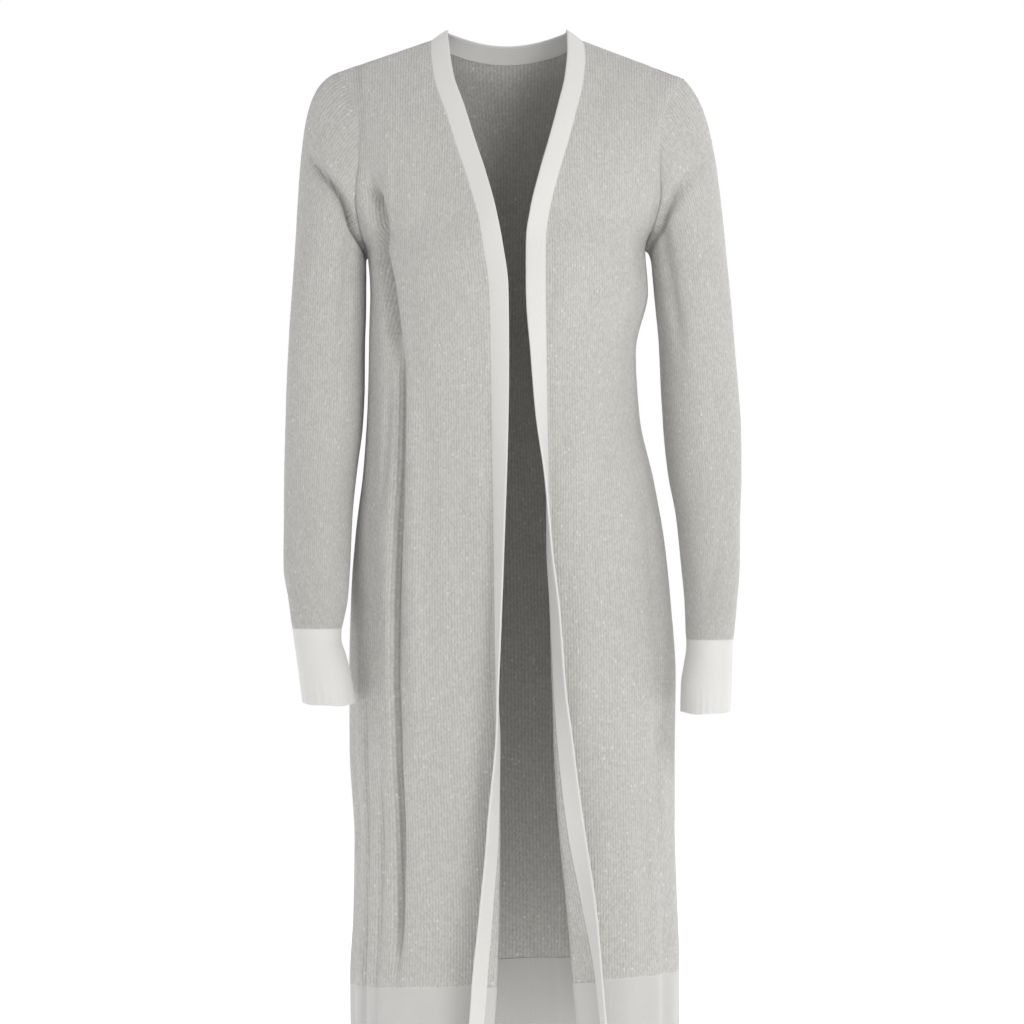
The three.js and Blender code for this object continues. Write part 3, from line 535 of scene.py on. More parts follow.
def past_edge(edge_place, bend, length):
    """Point and directions at a length past the start of the bend."""
    edge, outward, ahead = edge_place
    angle = np.minimum(length / BEND_RADIUS, bend)
    rise, run = 1 - np.cos(angle), np.sin(angle)
    point = edge + BEND_RADIUS * (ahead * run[..., None] + outward * rise[..., None])
    new_outward, new_ahead = turned(outward, ahead, angle)
    rest = np.maximum(0, length - BEND_RADIUS * bend)
    return point + new_ahead * rest[..., None], new_outward, new_ahead


def band_seam(name, row):
    """The band seam: its place, the band's direction and outer normal, the seam's normal."""
    row = np.atleast_1d(np.asarray(row, float))
    bend = np.radians(FRONTS[name]["bend"](row))
    length = BEND_RADIUS * bend + FRONTS[name]["fold"](row)
    place = edge_frame(name, row)
    point, end_outward, _ = past_edge(place, bend, length)
    outward, ahead = turned(place[1], place[2], np.radians(FRONTS[name]["band"](row)))
    return point, ahead, outward, unit(end_outward + outward)


def front_lengths(name, row):
    """A front's rows as sampled curves, and the lengths of their flat and turned parts."""
    controls = [p[:, None, :] for p in front_controls(name, row)]
    curve = bezier(controls, np.linspace(0, 1, ROW_SAMPLES + 1)[None, :])
    lengths = lengths_along(curve, axis=1)
    turn_length = BEND_RADIUS * np.radians(FRONTS[name]["bend"](row))
    return curve, lengths, lengths[:, -1] + turn_length + FRONTS[name]["fold"](row)


def side_normal(name, row):
    controls = front_controls(name, row)
    along = derivative(lambda r: side_point(name, r), row)
    return unit(np.cross(controls[1] - controls[0], along) * -SIDES[name])


def back_side(name, row):
    below = side_point(name, np.minimum(row, UNDERARM_ROW))
    a = ARMHOLES[name]
    at = np.maximum(row - UNDERARM_ROW, 0)
    above = vec(a["x"](at), a["y"](at), a["z"](at))
    return np.where((row <= UNDERARM_ROW)[..., None], below, above)


def back_half(name, row, t):
    """Half a row of the back, from one side to the centre line."""
    side = back_side(name, row)
    centre = vec(BACK_LINE["x"](row), BACK_LINE["y"](row), BACK_LINE["z"](row))
    at = np.maximum(row - UNDERARM_ROW, 0)
    turn = np.where(row <= UNDERARM_ROW, 0, ARMHOLES[name]["turn"](at))
    share = np.sin(np.radians(turn))[..., None]
    controls = front_controls(name, np.minimum(row, UNDERARM_ROW))
    out = leaving(side, centre, turn, unit(controls[0] - controls[1]))
    depth = np.abs(centre[..., 1:2] - side[..., 1:2])
    width = np.abs(centre[..., 0:1] - side[..., 0:1])
    third = np.linalg.norm(side - centre, axis=-1, keepdims=True) / 3
    inward = np.array((SIDES[name], 0.0, 0.0))
    line = (
        side,
        side + out * mix(depth * SIDE_REACH, third, share),
        centre + inward * width * EDGE_REACH,
        centre,
    )
    return bezier([p[:, None, :] for p in line], t[None, :])


def back_top(name, t):
    """Top edge of half the back: the shoulder seam, then the neckline to the nape."""
    shoulder, neck = side_point(name, AT_SHOULDER)[0], edge_point(name, AT_SHOULDER)[0]
    straight = mix(shoulder, neck, np.minimum(t / NECK_SHARE, 1)[..., None])
    angle = np.clip((t - NECK_SHARE) / (1 - NECK_SHARE), 0, 1) * math.pi / 2
    curved = vec(
        mix(NAPE[0], neck[0], np.cos(angle)),
        mix(neck[1], NAPE[1], np.sin(angle)),
        mix(neck[2], NAPE[2], np.sin(angle) ** 2),
    )
    return np.where((t <= NECK_SHARE)[..., None], straight, curved)


def back_rows(name, row, t):
    lower = back_half(name, np.minimum(row, YOKE_ROW), t)
    yoke = np.array([YOKE_ROW, YOKE_ROW - ROW_STEP], float)
    base, before = back_half(name, yoke, t)
    top = back_top(name, t)
    third = np.linalg.norm(top - base, axis=-1, keepdims=True) / 3
    share = smooth(NECK_SHARE, 1, t)[..., None]
    arrival = unit(mix(SHOULDER_RISE, NAPE_RISE, share))
    line = (base, base + unit(base - before) * third, top - arrival * third, top)
    w = np.clip((row - YOKE_ROW) / (SHOULDER_ROW - YOKE_ROW), 0, 1)
    upper = bezier([p[None, :, :] for p in line], w[:, None])
    return np.where((row <= YOKE_ROW)[:, None, None], lower, upper)


def nape_seam(name, t):
    """Band seam round the back of the neck, from the shoulder seam to the nape."""
    _, start_ahead, _, _ = band_seam(name, SHOULDER_ROW)
    share = (t - NECK_SHARE) / (1 - NECK_SHARE)
    before = back_top(name, np.maximum(t - SHARE_STEP, NECK_SHARE))
    along = unit(back_top(name, np.minimum(t + SHARE_STEP, 1)) - before)
    ahead = mix(start_ahead, BAND_AT_NAPE, smooth(0, 1, share)[..., None])
    ahead = unit(ahead - along * np.sum(ahead * along, axis=-1, keepdims=True))
    outward = unit(np.cross(ahead, along) * -SIDES[name])
    last = share >= 1
    ahead[last, 0] = 0
    outward[last, 0] = 0
    return back_top(name, t), unit(ahead), unit(outward)


def shoulder_normal(name):
    seam = (edge_point(name, AT_SHOULDER) - side_point(name, AT_SHOULDER))[0]
    normal = unit(np.cross(seam, (0, 1, 0)))
    return normal * np.sign(normal[2])


def grid_normals(points, sign, wrap=False):
    if wrap:
        across = np.roll(points, -1, axis=1) - np.roll(points, 1, axis=1)
    else:
        across = np.gradient(points, axis=1)
    return unit(np.cross(across, np.gradient(points, axis=0)) * sign)


def crease_shift(creases, row, at, row_length, edge_fade):
    """How far the creases of a piece move a point out, as a ridge, or in, as a trough."""
    shift = np.zeros(np.broadcast(row, at).shape)
    for start_row, start, end_row, end, depth, width in creases:
        share = (row - start_row) / (end_row - start_row)
        fade = min(CREASE_FADE_ROWS / abs(start_row - end_row), 0.5)
        ends = smooth(0, fade, share)
        if end_row != HEM_ROW:
            ends = ends * smooth(1, 1 - fade, share)
        distance = (at - mix(start, end, share)) * row_length / width
        shift -= depth * np.exp(-distance * distance) * ends
    return shift * edge_fade


def gentle(seed, across, along):
    """Slow uneven swell of hanging cloth, in millimetres, from a few seeded waves."""
    draw = np.random.default_rng(seed)
    total = np.zeros(np.broadcast(across, along).shape)
    for _ in range(SWELL_WAVES):
        size, tilt = draw.uniform(*SWELL_ACROSS), draw.uniform(*SWELL_ALONG)
        phase = draw.uniform(0, 2 * math.pi)
        total = total + np.sin(2 * math.pi * (across / size + along / tilt) + phase)
    return total * SWELL_HEIGHT / SWELL_WAVES


def body_rows():
    body = np.linspace(PANEL_ROW, UNDERARM_ROW, BODY_STEPS + 1)
    armhole = np.linspace(UNDERARM_ROW, SHOULDER_ROW, ARMHOLE_STEPS + 1)
    return np.concatenate((body, armhole[1:]))


def rib_columns(count):
    """Columns over a number of ribs, as places counted in ribs."""
    stops = (np.arange(count)[:, None] + np.array(WALE_STOPS)[None, :]).ravel()
    return np.append(stops, float(count))


def held_rib(name, row):
    """Length from the side to the rib that runs straight up to the shoulder."""
    curve, lengths, _ = front_lengths(name, row)
    inward = curve[..., 0] * -SIDES[name]
    return np.array([np.interp(-HELD_RIB_X, x, length) for x, length in zip(inward, lengths)])


def front_grid(name, row, stops=None):
    """Points of a front, by row and by column. Without stops its columns follow the ribs."""
    curve, lengths, total = front_lengths(name, row)
    under = front_lengths(name, AT_UNDERARM)[2][0]
    if stops is None:
        count = round(under / RIB_PITCH)
        place = rib_columns(count)[None, :]
        wider = mix(1, SHOULDER_SPREAD, smooth(YOKE_ROW, SHOULDER_ROW, row))
        pitch = np.where(row <= UNDERARM_ROW, total, under * wider) / count
        held = held_rib(name, np.maximum(row, UNDERARM_ROW)) / pitch
        at_underarm = held_rib(name, AT_UNDERARM)[0] * count / under
        cut = np.where(row <= UNDERARM_ROW, 0, np.maximum(at_underarm - held, 0))
        wanted = (place - cut[:, None]) * pitch[:, None]
    else:
        cut, pitch = np.zeros(len(row)), total / (under / RIB_PITCH)
        wanted = stops[None, :] * total[:, None]
    s = np.clip(wanted, 0, total[:, None])
    flat = lengths[:, -1:]
    points = np.empty((*s.shape, 3))
    for i in range(len(row)):
        for axis in range(3):
            points[i, :, axis] = np.interp(s[i], lengths[i], curve[i, :, axis])
    place = [p[:, None, :] for p in edge_frame(name, row)]
    bend = np.radians(FRONTS[name]["bend"](row))[:, None]
    turned_points, _, _ = past_edge(place, bend, np.maximum(0, s - flat))
    points = hem_tilt(np.where((s > flat)[..., None], turned_points, points))
    normals = grid_normals_cut(points, s, -SIDES[name])
    seam = band_seam(name, row)[3][:, None, :]
    blend = smooth(0, EDGE_BLEND, total[:, None] - s)[..., None]
    normals = unit(mix(seam, normals, blend))
    near_side = side_normal(name, row)[:, None, :]
    blend = smooth(0, EDGE_BLEND, s)[..., None]
    below = (row <= UNDERARM_ROW)[:, None, None]
    normals = unit(np.where(below, mix(near_side, normals, blend), normals))
    at = np.minimum(s / flat, 1)
    fade = smooth(0, CREASE_EDGE_FADE, at) * smooth(1, 1 - CREASE_EDGE_FADE, at)
    chord = np.linalg.norm(curve[:, -1] - curve[:, 0], axis=-1)[:, None] * ROW_FULLNESS
    shift = crease_shift(CREASES["front_" + name], row[:, None], at, chord, fade)
    shift = shift + gentle(FRONT_SEEDS[name], s, points[..., 2]) * fade
    return {
        "points": points + normals * shift[..., None],
        "normals": normals,
        "wale": s / pitch[:, None] + cut[:, None],
        "edge": np.minimum(s, total[:, None] - s),
        "low": np.argmax(wanted > 0, axis=1) - 1,
        "high": np.minimum(np.sum(wanted < total[:, None], axis=1), s.shape[1] - 1),
    }


def grid_normals_cut(points, s, sign):
    """Normals of a grid whose rows are cut off at their ends, from the columns that are left."""
    along = np.gradient(points, axis=0)
    across = np.gradient(points, axis=1)
    flat = np.linalg.norm(across, axis=-1) < FLAT_STEP
    columns = np.arange(points.shape[1])
    for i in range(points.shape[0]):
        good = columns[~flat[i]]
        nearest = good[np.clip(np.searchsorted(good, columns), 0, len(good) - 1)]
        across[i] = across[i, nearest]
    return unit(np.cross(across, along) * sign)


def eased_yoke(points, row):
    """Eases the fold that runs down the back from each corner of the neckline."""
    eased = points.copy()
    low = smooth(YOKE_ROW - EASING_LOW_ROWS, YOKE_ROW + EASING_LOW_ROWS, row)
    high = smooth(SHOULDER_ROW, SHOULDER_ROW - EASING_TOP_ROWS, row)
    share = (low * high)[:, None, None] * EASING_SHARE
    step = len(WALE_STOPS)
    for _ in range(EASING_ROUNDS):
        middle = eased[:, step:-step, 1:]
        beside = (eased[:, :-2 * step, 1:] + eased[:, 2 * step:, 1:]) / 2
        eased[:, step:-step, 1:] = mix(middle, beside, share)
    return eased


def back_grid(row, columns):
    """Points of the back, from the wearer's right to the left. Columns are counted in ribs."""
    share = columns / HALF_BACK_WALES
    right = back_rows("right", row, share)
    left = back_rows("left", row, share)
    points = hem_tilt(np.concatenate((right, left[:, -2::-1]), axis=1))
    points = eased_yoke(points, row)
    t = np.concatenate((share, share[-2::-1]))
    at = np.concatenate((share - 1, 1 - share[-2::-1]))
    normals = grid_normals(points, -1)
    length = lengths_along(points, axis=1)
    edge = np.minimum(length, length[:, -1:] - length)
    below = (row <= UNDERARM_ROW)[:, None, None]
    half = len(share)
    for name, part in (("right", slice(0, half)), ("left", slice(half, None))):
        near_side = side_normal(name, np.minimum(row, UNDERARM_ROW))[:, None, :]
        blend = smooth(0, EDGE_BLEND, edge[:, part])[..., None]
        held = unit(mix(near_side, normals[:, part], blend))
        normals[:, part] = np.where(below, held, normals[:, part])
        if row[-1] == SHOULDER_ROW:
            on_neck = (t[part] > NECK_SHARE)[:, None]
            nape = nape_seam(name, np.maximum(t[part], NECK_SHARE))[2]
            normals[-1, part] = np.where(on_neck, nape, shoulder_normal(name))
    fade = smooth(0, CREASE_EDGE_FADE, t)[None, :]
    half_length = ROW_FULLNESS * np.linalg.norm(points[:, half - 1] - points[:, 0], axis=-1)
    shift = crease_shift(CREASES["back"], row[:, None], at[None, :], half_length[:, None], fade)
    rise = smooth(SHOULDER_ROW, YOKE_ROW, row)[:, None]
    swell = gentle(BACK_SEED, at[None, :] * half_length[:, None], points[..., 2])
    shift = shift + swell * fade * rise
    wale = np.concatenate((columns, 2 * HALF_BACK_WALES - columns[-2::-1]))
    return {
        "points": points + normals * shift[..., None],
        "normals": normals,
        "wale": np.broadcast_to(wale, length.shape),
        "edge": edge,
        "low": np.zeros(len(row), int),
        "high": np.full(len(row), points.shape[1] - 1),
    }


@functools.lru_cache(maxsize=None)
def panels():
    """The rows of the body, and the back and both fronts as fine grids."""
    row = body_rows()
    grids = {"back": back_grid(row, rib_columns(HALF_BACK_WALES))}
    for name in SIDES:
        grids[name] = front_grid(name, row)
    return row, grids


def armhole_loop(name, angle):
    """Armhole from the shoulder point down the front, under the arm and up the back."""
    row, grids = panels()
    first = int(np.searchsorted(row, UNDERARM_ROW))
    front, back = grids[name], grids["back"]
    side = 0 if name == "right" else -1
    points = np.concatenate((front["points"][first:, 0][::-1], back["points"][first + 1:, side]))
    normals = np.concatenate((front["normals"][first:, 0][::-1], back["normals"][first + 1:, side]))
    length = lengths_along(points)
    under = length[len(row) - 1 - first]
    front_share = 0.5 * length / under
    back_share = 0.5 + 0.5 * (length - under) / (length[-1] - under)
    share = np.where(length <= under, front_share, back_share) * 2 * math.pi
    place = np.stack([np.interp(angle, share, points[:, k]) for k in range(3)], axis=-1)
    facing = np.stack([np.interp(angle, share, normals[:, k]) for k in range(3)], axis=-1)
    return place, unit(facing)


def ring_point(ring, name, z, angle):
    middle = (ring["out_x"](z) + ring["in_x"](z)) / 2
    half = np.abs(ring["out_x"](z) - ring["in_x"](z)) / 2
    x = middle + SIDES[name] * half * np.cos(angle)
    return vec(x, ring["y"](z) - ring["deep"](z) * np.sin(angle), z)


def sleeve_shift(name, z, angle):
    shift = np.zeros(np.broadcast(z, angle).shape)
    for start_z, start, end_z, end, depth, width in SLEEVE_CREASES[name]:
        share = (z - start_z) / (end_z - start_z)
        fade = SLEEVE_CREASE_FADE / abs(end_z - start_z)
        ends = smooth(-fade, fade, share) * smooth(1 + fade, 1 - fade, share)
        distance = (angle - np.radians(mix(start, end, share))) * ARM_HALF_DEPTH / width
        shift = shift - depth * np.exp(-distance * distance) * ends
    return shift


@functools.lru_cache(maxsize=None)
def sleeve_grid(name):
    """Points of a sleeve, from the armhole to the cuff seam and once round the arm."""
    columns = rib_columns(SLEEVE_WALES)
    angle = columns / SLEEVE_WALES * 2 * math.pi
    ring = SLEEVE_RINGS[name]
    top, bottom = SLEEVE[name][0][0], SLEEVE[name][-1][0]
    slope = unit(np.array((SIDES[name], 0, SHOULDER_SLOPE[name])))
    drop = unit(np.array((SIDES[name] * UNDERARM_LEAN, 0, -1)))
    seam, seam_normal = armhole_loop(name, angle)
    under = ((1 - np.cos(angle)) / 2)[:, None]
    leave = unit(mix(slope, drop, under))
    start = seam + leave * CLOSED_GAP + seam_normal * SEAM_GAP * under
    end = ring_point(ring, name, top, angle)
    rise = unit(end - ring_point(ring, name, top - 1, angle))
    span = np.linalg.norm(end - start, axis=-1, keepdims=True)
    line = (start, start + leave * span * HEAD_REACH, end + rise * span * ARM_REACH, end)
    t = np.linspace(0, 1, CAP_STEPS + 1)
    cap = bezier([p[None] for p in line], t[:, None])
    z = np.linspace(top, bottom, ARM_STEPS + 1)[1:]
    arm = ring_point(ring, name, z[:, None], angle[None, :])
    points = np.concatenate((cap, arm))
    normals = np.empty_like(points)
    normals[:, :-1] = grid_normals(points[:, :-1], SIDES[name], wrap=True)
    normals[:, -1] = normals[:, 0]
    held = (-np.cos(angle) < FOLDED_OVER)[None, :, None]
    level = np.arange(len(points))[:, None, None]
    blend = smooth(0, HEAD_BLEND_ROWS, level)
    normals = unit(np.where(held, mix(seam_normal[None], normals, blend), normals))
    flat = normals * np.array((1, 1, 0))
    last = len(points) - 1
    normals = unit(mix(flat, normals, smooth(last, last - CUFF_BLEND_ROWS, level)))
    cap_share = np.concatenate((t, np.ones(len(z))))[:, None]
    fade = smooth(0, CAP_CREASE_FADE, cap_share)
    fade = fade * smooth(bottom, bottom + SLEEVE_END_FADE, points[..., 2])
    shift = sleeve_shift(name, points[..., 2], angle[None, :])
    across = np.abs(angle - math.pi)[None, :] * ARM_HALF_DEPTH
    swell = gentle(SLEEVE_SEEDS[name], across, points[..., 2])
    shift = fade * (shift + SLEEVE_SWELL * swell)
    shift[:, -1] = shift[:, 0]
    moved = points + normals * shift[..., None]
    moved[:, -1] = moved[:, 0]
    away = np.linalg.norm(moved - moved[:1], axis=-1)
    return {
        "points": moved,
        "normals": normals,
        "wale": np.broadcast_to(columns, away.shape),
        "edge": np.minimum(away, np.abs(moved[..., 2] - bottom)),
        "low": np.zeros(len(points), int),
        "high": np.full(len(points), len(columns) - 1),
    }


def placed(name, data):
    made = bpy.data.objects.new(name, data)
    bpy.context.collection.objects.link(made)
    return made


def solid(name, places, faces, uv, same, values=None):
    """A closed mesh. Corners that say the same vertex are joined, and flat faces left out."""
    kept, looks = [], []
    for ids, seen in zip(same[faces].tolist(), faces.tolist()):
        ring = [k for k in range(len(ids)) if ids[k] != ids[k - 1]]
        if len({ids[k] for k in ring}) > 2:
            kept.append([ids[k] for k in ring])
            looks.append([seen[k] for k in ring])
    a, b, c = (places[[f[k] for f in kept]] for k in range(3))
    volume = np.sum(a * np.cross(b, c))
    d = places[[f[-1] for f in kept]]
    volume += np.sum(a * np.cross(c, d))
    if volume < 0:
        kept = [f[::-1] for f in kept]
        looks = [f[::-1] for f in looks]
    used = np.unique(np.concatenate([np.array(f) for f in kept]))
    number = np.zeros(len(places), int)
    number[used] = np.arange(len(used))
    mesh = bpy.data.meshes.new(name)
    rings = [[int(number[i]) for i in f] for f in kept]
    mesh.from_pydata((places[used] * MM).tolist(), [], rings)
    layer = mesh.uv_layers.new(name="Knit")
    layer.data.foreach_set("uv", uv[np.concatenate([np.array(f) for f in looks])].ravel())
    for key, numbers in (values or {}).items():
        kept_values = mesh.attributes.new(key, "FLOAT", "POINT")
        kept_values.data.foreach_set("value", numbers[used].astype(float))
    mesh.shade_smooth()
    mesh.set_sharp_from_angle(angle=SHARP)
    return placed(name, mesh)


def cloth_wall(name, grid, thickness, wrap=False):
    """A knitted panel with fine columns outside, half as many inside, and closed edges."""
    points, normals = grid["points"], grid["normals"]
    rows, count = points.shape[:2]
    half = (count + 1) // 2
    inner = points[:, ::2] - normals[:, ::2] * thickness
    outside = np.arange(rows * count).reshape(rows, count)
    inside = rows * count + np.arange(rows * half).reshape(rows, half)
    column = np.broadcast_to(np.arange(count), (rows, count))
    kept = np.clip(column, grid["low"][:, None], grid["high"][:, None])
    half_column = np.broadcast_to(np.arange(half), (rows, half))
    low, high = grid["low"] // 2, (grid["high"] + 1) // 2
    half_kept = np.clip(half_column, low[:, None], high[:, None])
    if wrap:
        kept = np.where(kept == count - 1, 0, kept)
        half_kept = np.where(half_kept == half - 1, 0, half_kept)
    same = np.concatenate((
        np.take_along_axis(outside, kept, axis=1).ravel(),
        np.take_along_axis(inside, half_kept, axis=1).ravel(),
    ))
    faces = [quads(outside), quads(inside)[:, ::-1]]
    if not wrap:
        faces.append(strip(outside[:, 0], inside[:, 0]))
        faces.append(strip(outside[:, -1], inside[:, -1])[:, ::-1])
    faces.extend(zipped(outside[-1], inside[-1]))
    faces.extend(f[:, ::-1] for f in zipped(outside[0], inside[0]))
    fade = smooth(0, RIB_FADE, grid["edge"])
    fade[0] = fade[-1] = 0
    wale = grid["wale"]
    along = lengths_along(points) / COURSE
    if wrap:
        along = along[-1:] - along
    uv = np.stack((wale, along), axis=-1)
    places = np.concatenate((points.reshape(-1, 3), inner.reshape(-1, 3)))
    uvs = np.concatenate((uv.reshape(-1, 2), uv[:, ::2].reshape(-1, 2)))
    values = {
        "wale": np.concatenate((wale.ravel(), wale[:, ::2].ravel() + 0.5)),
        "rib": np.concatenate((fade.ravel(), INNER_RIB * fade[:, ::2].ravel())),
    }
    return solid(name, places, np.concatenate(faces), uvs, same, values)


def quads(grid):
    corners = (grid[:-1, :-1], grid[:-1, 1:], grid[1:, 1:], grid[1:, :-1])
    return np.stack(corners, axis=-1).reshape(-1, 4)


def strip(a, b):
    return np.stack((a[:-1], a[1:], b[1:], b[:-1]), axis=-1)


def zipped(fine, coarse):
    """Faces between an edge and one with half its points. A triangle says a corner twice."""
    start, middle, end = fine[:-2:2], fine[1:-1:2], fine[2::2]
    near, far = coarse[:-1], coarse[1:]
    return [
        np.stack((start, middle, near, near), axis=-1),
        np.stack((middle, far, near, near), axis=-1),
        np.stack((middle, end, far, far), axis=-1),
    ]


def lofted(name, sections, uv, wrap=False):
    """A closed mesh through sections that are closed loops themselves."""
    count, around = sections.shape[:2]
    ids = np.arange(count * around).reshape(count, around)
    same = ids.copy()
    if wrap:
        same[-1] = ids[0]
    ring = np.concatenate((ids, ids[:, :1]), axis=1)
    faces = [quads(ring)]
    if not wrap:
        for line, way in ((ids[0], 1), (ids[-1], -1)):
            half = around // 2
            pairs = np.stack((line[:half], line[::-1][:half]), axis=-1)
            cap = np.stack((pairs[:-1, 0], pairs[:-1, 1], pairs[1:, 1], pairs[1:, 0]), axis=-1)
            faces.append(cap[:, ::way])
    places, looks = sections.reshape(-1, 3), uv.reshape(-1, 2)
    return solid(name, places, np.concatenate(faces), looks, same.ravel())


def rounded_section(outer, normal, down, thickness, roll):
    """Closed section of a trim: out along it, round its free edge and back inside."""
    parts = [outer]
    radius = thickness / 2 + roll
    centre = outer[:, -1] - normal[:, -1] * thickness / 2
    for angle in np.linspace(0, math.pi, ROLL_STEPS + 2)[1:-1]:
        turn = normal[:, -1] * math.cos(angle) + down * math.sin(angle)
        parts.append((centre + turn * radius)[:, None, :])
    parts.append((outer - normal * thickness)[:, ::-1])
    return np.concatenate(parts, axis=1)


def section_uv(sections):
    """Lengths from section to section and round each, counted in fine lines."""
    v = lengths_along(sections, axis=1)
    u = np.broadcast_to(lengths_along(sections[:, 0])[:, None], v.shape)
    return np.stack((u, v), axis=-1) / TRIM_LINE


# Materials


def node(tree, kind, inputs=None, **settings):
    """A new node, with what is fed into its inputs."""
    made = tree.nodes.new(kind)
    for key, value in settings.items():
        setattr(made, key, value)
    feed(tree, made, inputs or {})
    return made


def feed(tree, target, inputs):
    """Links inputs of a node to sockets, or sets them to plain values."""
    for key, value in inputs.items():
        if isinstance(value, bpy.types.NodeSocket):
            tree.links.new(value, target.inputs[key])
        else:
            target.inputs[key].default_value = value


def math_node(tree, operation, *inputs):
    """A Math node whose inputs are numbers or sockets."""
    return node(tree, "ShaderNodeMath", dict(enumerate(inputs)), operation=operation).outputs[0]


def vector_of(tree, **parts):
    """A vector with sockets for some of its parts X, Y and Z."""
    return node(tree, "ShaderNodeCombineXYZ", parts).outputs[0]


def new_material(name):
    material = bpy.data.materials.new(name)
    material.use_nodes = True
    tree = material.node_tree
    return material, tree, tree.nodes["Principled BSDF"]


def yarn_material(name, finish):
    """A new material with a yarn's roughness, sheen and specular level."""
    material, tree, shader = new_material(name)
    sockets = ("Roughness", "Sheen Weight", "Specular IOR Level")
    feed(tree, shader, {**dict(zip(sockets, finish)), "Sheen Roughness": SHEEN_ROUGHNESS})
    return material, tree, shader


def knit_place(tree):
    """Place on the knit: ribs or fine lines one way, courses the other."""
    place = node(tree, "ShaderNodeUVMap", uv_map="Knit").outputs["UV"]
    parts = node(tree, "ShaderNodeSeparateXYZ", {0: place})
    return parts.outputs["X"], parts.outputs["Y"]


def around_one(tree, value, contrast):
    """A brightness that varies evenly round one."""
    return math_node(tree, "MULTIPLY_ADD", value, contrast, 1 - contrast / 2)


def product(tree, first, *others):
    for other in others:
        first = math_node(tree, "MULTIPLY", first, other)
    return first


def knit_loops(tree, u, v, slant):
    """Height of knitted loops: columns of leaning legs, course above course."""
    centred = math_node(tree, "SUBTRACT", math_node(tree, "FRACT", u), 0.5)
    across = math_node(tree, "ABSOLUTE", centred)
    lean = math_node(tree, "MULTIPLY", across, slant)
    course = math_node(tree, "MULTIPLY", math_node(tree, "ADD", v, lean), 2 * math.pi)
    wave = math_node(tree, "SINE", course)
    return math_node(tree, "MULTIPLY_ADD", wave, 0.5, 0.5), across


def object_noise(tree, scale):
    place = node(tree, "ShaderNodeTexCoord").outputs["Object"]
    noise = node(tree, "ShaderNodeTexNoise", {"Scale": scale, "Vector": place})
    return noise.outputs["Fac"]


def tinted(tree, colour, shade):
    """A colour times a brightness that varies over the surface."""
    grey = node(tree, "ShaderNodeCombineColor", {0: shade, 1: shade, 2: shade}).outputs[0]
    mixer = node(tree, "ShaderNodeMix", data_type="RGBA", blend_type="MULTIPLY")
    feed(tree, mixer, {"Factor": 1.0, "A": (*colour, 1.0), "B": grey})
    return mixer.outputs["Result"]


def bump(tree, shader, height, distance):
    made = node(tree, "ShaderNodeBump", {"Distance": distance, "Height": height})
    feed(tree, shader, {"Normal": made.outputs["Normal"]})


def glinting_cells(tree, u, v):
    """A random number for each short run of loops, half a rib wide."""
    half_rib = math_node(tree, "FLOOR", math_node(tree, "MULTIPLY", u, 2.0))
    run = math_node(tree, "FLOOR", math_node(tree, "DIVIDE", v, GLINT_COURSES))
    cell = {"Vector": vector_of(tree, X=half_rib, Y=run)}
    return node(tree, "ShaderNodeTexWhiteNoise", cell, noise_dimensions="2D").outputs["Value"]


def rib_knit_material(settings):
    """Silver-grey rib knit with a thin metallic thread that glints here and there, with painted
    shade in the valleys between the ribs and between courses of loops, and painted glints where the
    thread shows.
    """
    material, tree, shader = yarn_material("silver_rib_knit", RIB_FINISH)
    u, v = knit_place(tree)
    loops, across = knit_loops(tree, u, v, RIB_LEAN)
    crest = math_node(tree, "POWER", math_node(tree, "MULTIPLY", across, 2.0), CREST_POWER)
    speck = glinting_cells(tree, u, v)
    glint = math_node(tree, "GREATER_THAN", speck, 1 - settings.glint_share)
    valley = settings.valley_painted_shade
    cloud_scale, cloud_contrast = RIB_CLOUD
    shade = product(
        tree,
        # Painted shade: the valleys between the ribs are painted darker, by the valley shade
        # setting
        math_node(tree, "MULTIPLY_ADD", crest, valley, 1 - valley),
        # Painted shade: the dips between courses of loops are painted a little darker
        around_one(tree, loops, LOOP_PAINTED_SHADE),
        around_one(tree, speck, SPECK_CONTRAST),
        around_one(tree, object_noise(tree, cloud_scale), cloud_contrast),
        # Painted glints: where the metallic thread shows, the base colour is painted brighter as a
        # highlight; the thread's metal itself is real
        math_node(tree, "MULTIPLY_ADD", glint, PAINTED_GLINT_BRIGHTER, 1.0),
    )
    feed(tree, shader, {
        "Base Color": tinted(tree, settings.knit_colour, shade),
        "Metallic": math_node(tree, "MULTIPLY_ADD", glint, GLINT_METAL, KNIT_METAL),
        "Roughness": math_node(tree, "MULTIPLY_ADD", glint, -GLINT_POLISH, RIB_FINISH[0]),
    })
    fuzz_scale, fuzz_share = RIB_FUZZ
    fuzz = math_node(tree, "MULTIPLY", object_noise(tree, fuzz_scale), fuzz_share)
    bump(tree, shader, math_node(tree, "ADD", loops, fuzz), RIB_BUMP)
    return material


def trim_knit_material(settings, name, colour):
    """Smooth off-white knit with fine cross lines, with painted shade in the grooves between them.
    """
    material, tree, shader = yarn_material(name, TRIM_FINISH)
    u, v = knit_place(tree)
    loops, across = knit_loops(tree, v, u, TRIM_LEAN)
    line = settings.line_painted_shade
    cloud_scale, cloud_contrast = TRIM_CLOUD
    grain_scale, grain_contrast = TRIM_GRAIN
    shade = product(
        tree,
        # Painted shade: the grooves between the fine cross lines are painted darker
        math_node(tree, "MULTIPLY_ADD", across, 2 * line, 1 - line),
        around_one(tree, object_noise(tree, cloud_scale), cloud_contrast),
        around_one(tree, object_noise(tree, grain_scale), grain_contrast),
    )
    feed(tree, shader, {"Base Color": tinted(tree, colour, shade)})
    fuzz_scale, fuzz_share = TRIM_FUZZ
    fuzz = math_node(tree, "MULTIPLY", object_noise(tree, fuzz_scale), fuzz_share)
    height = math_node(tree, "ADD", math_node(tree, "MULTIPLY", loops, TRIM_LOOPS), fuzz)
    bump(tree, shader, height, TRIM_BUMP)
    return material


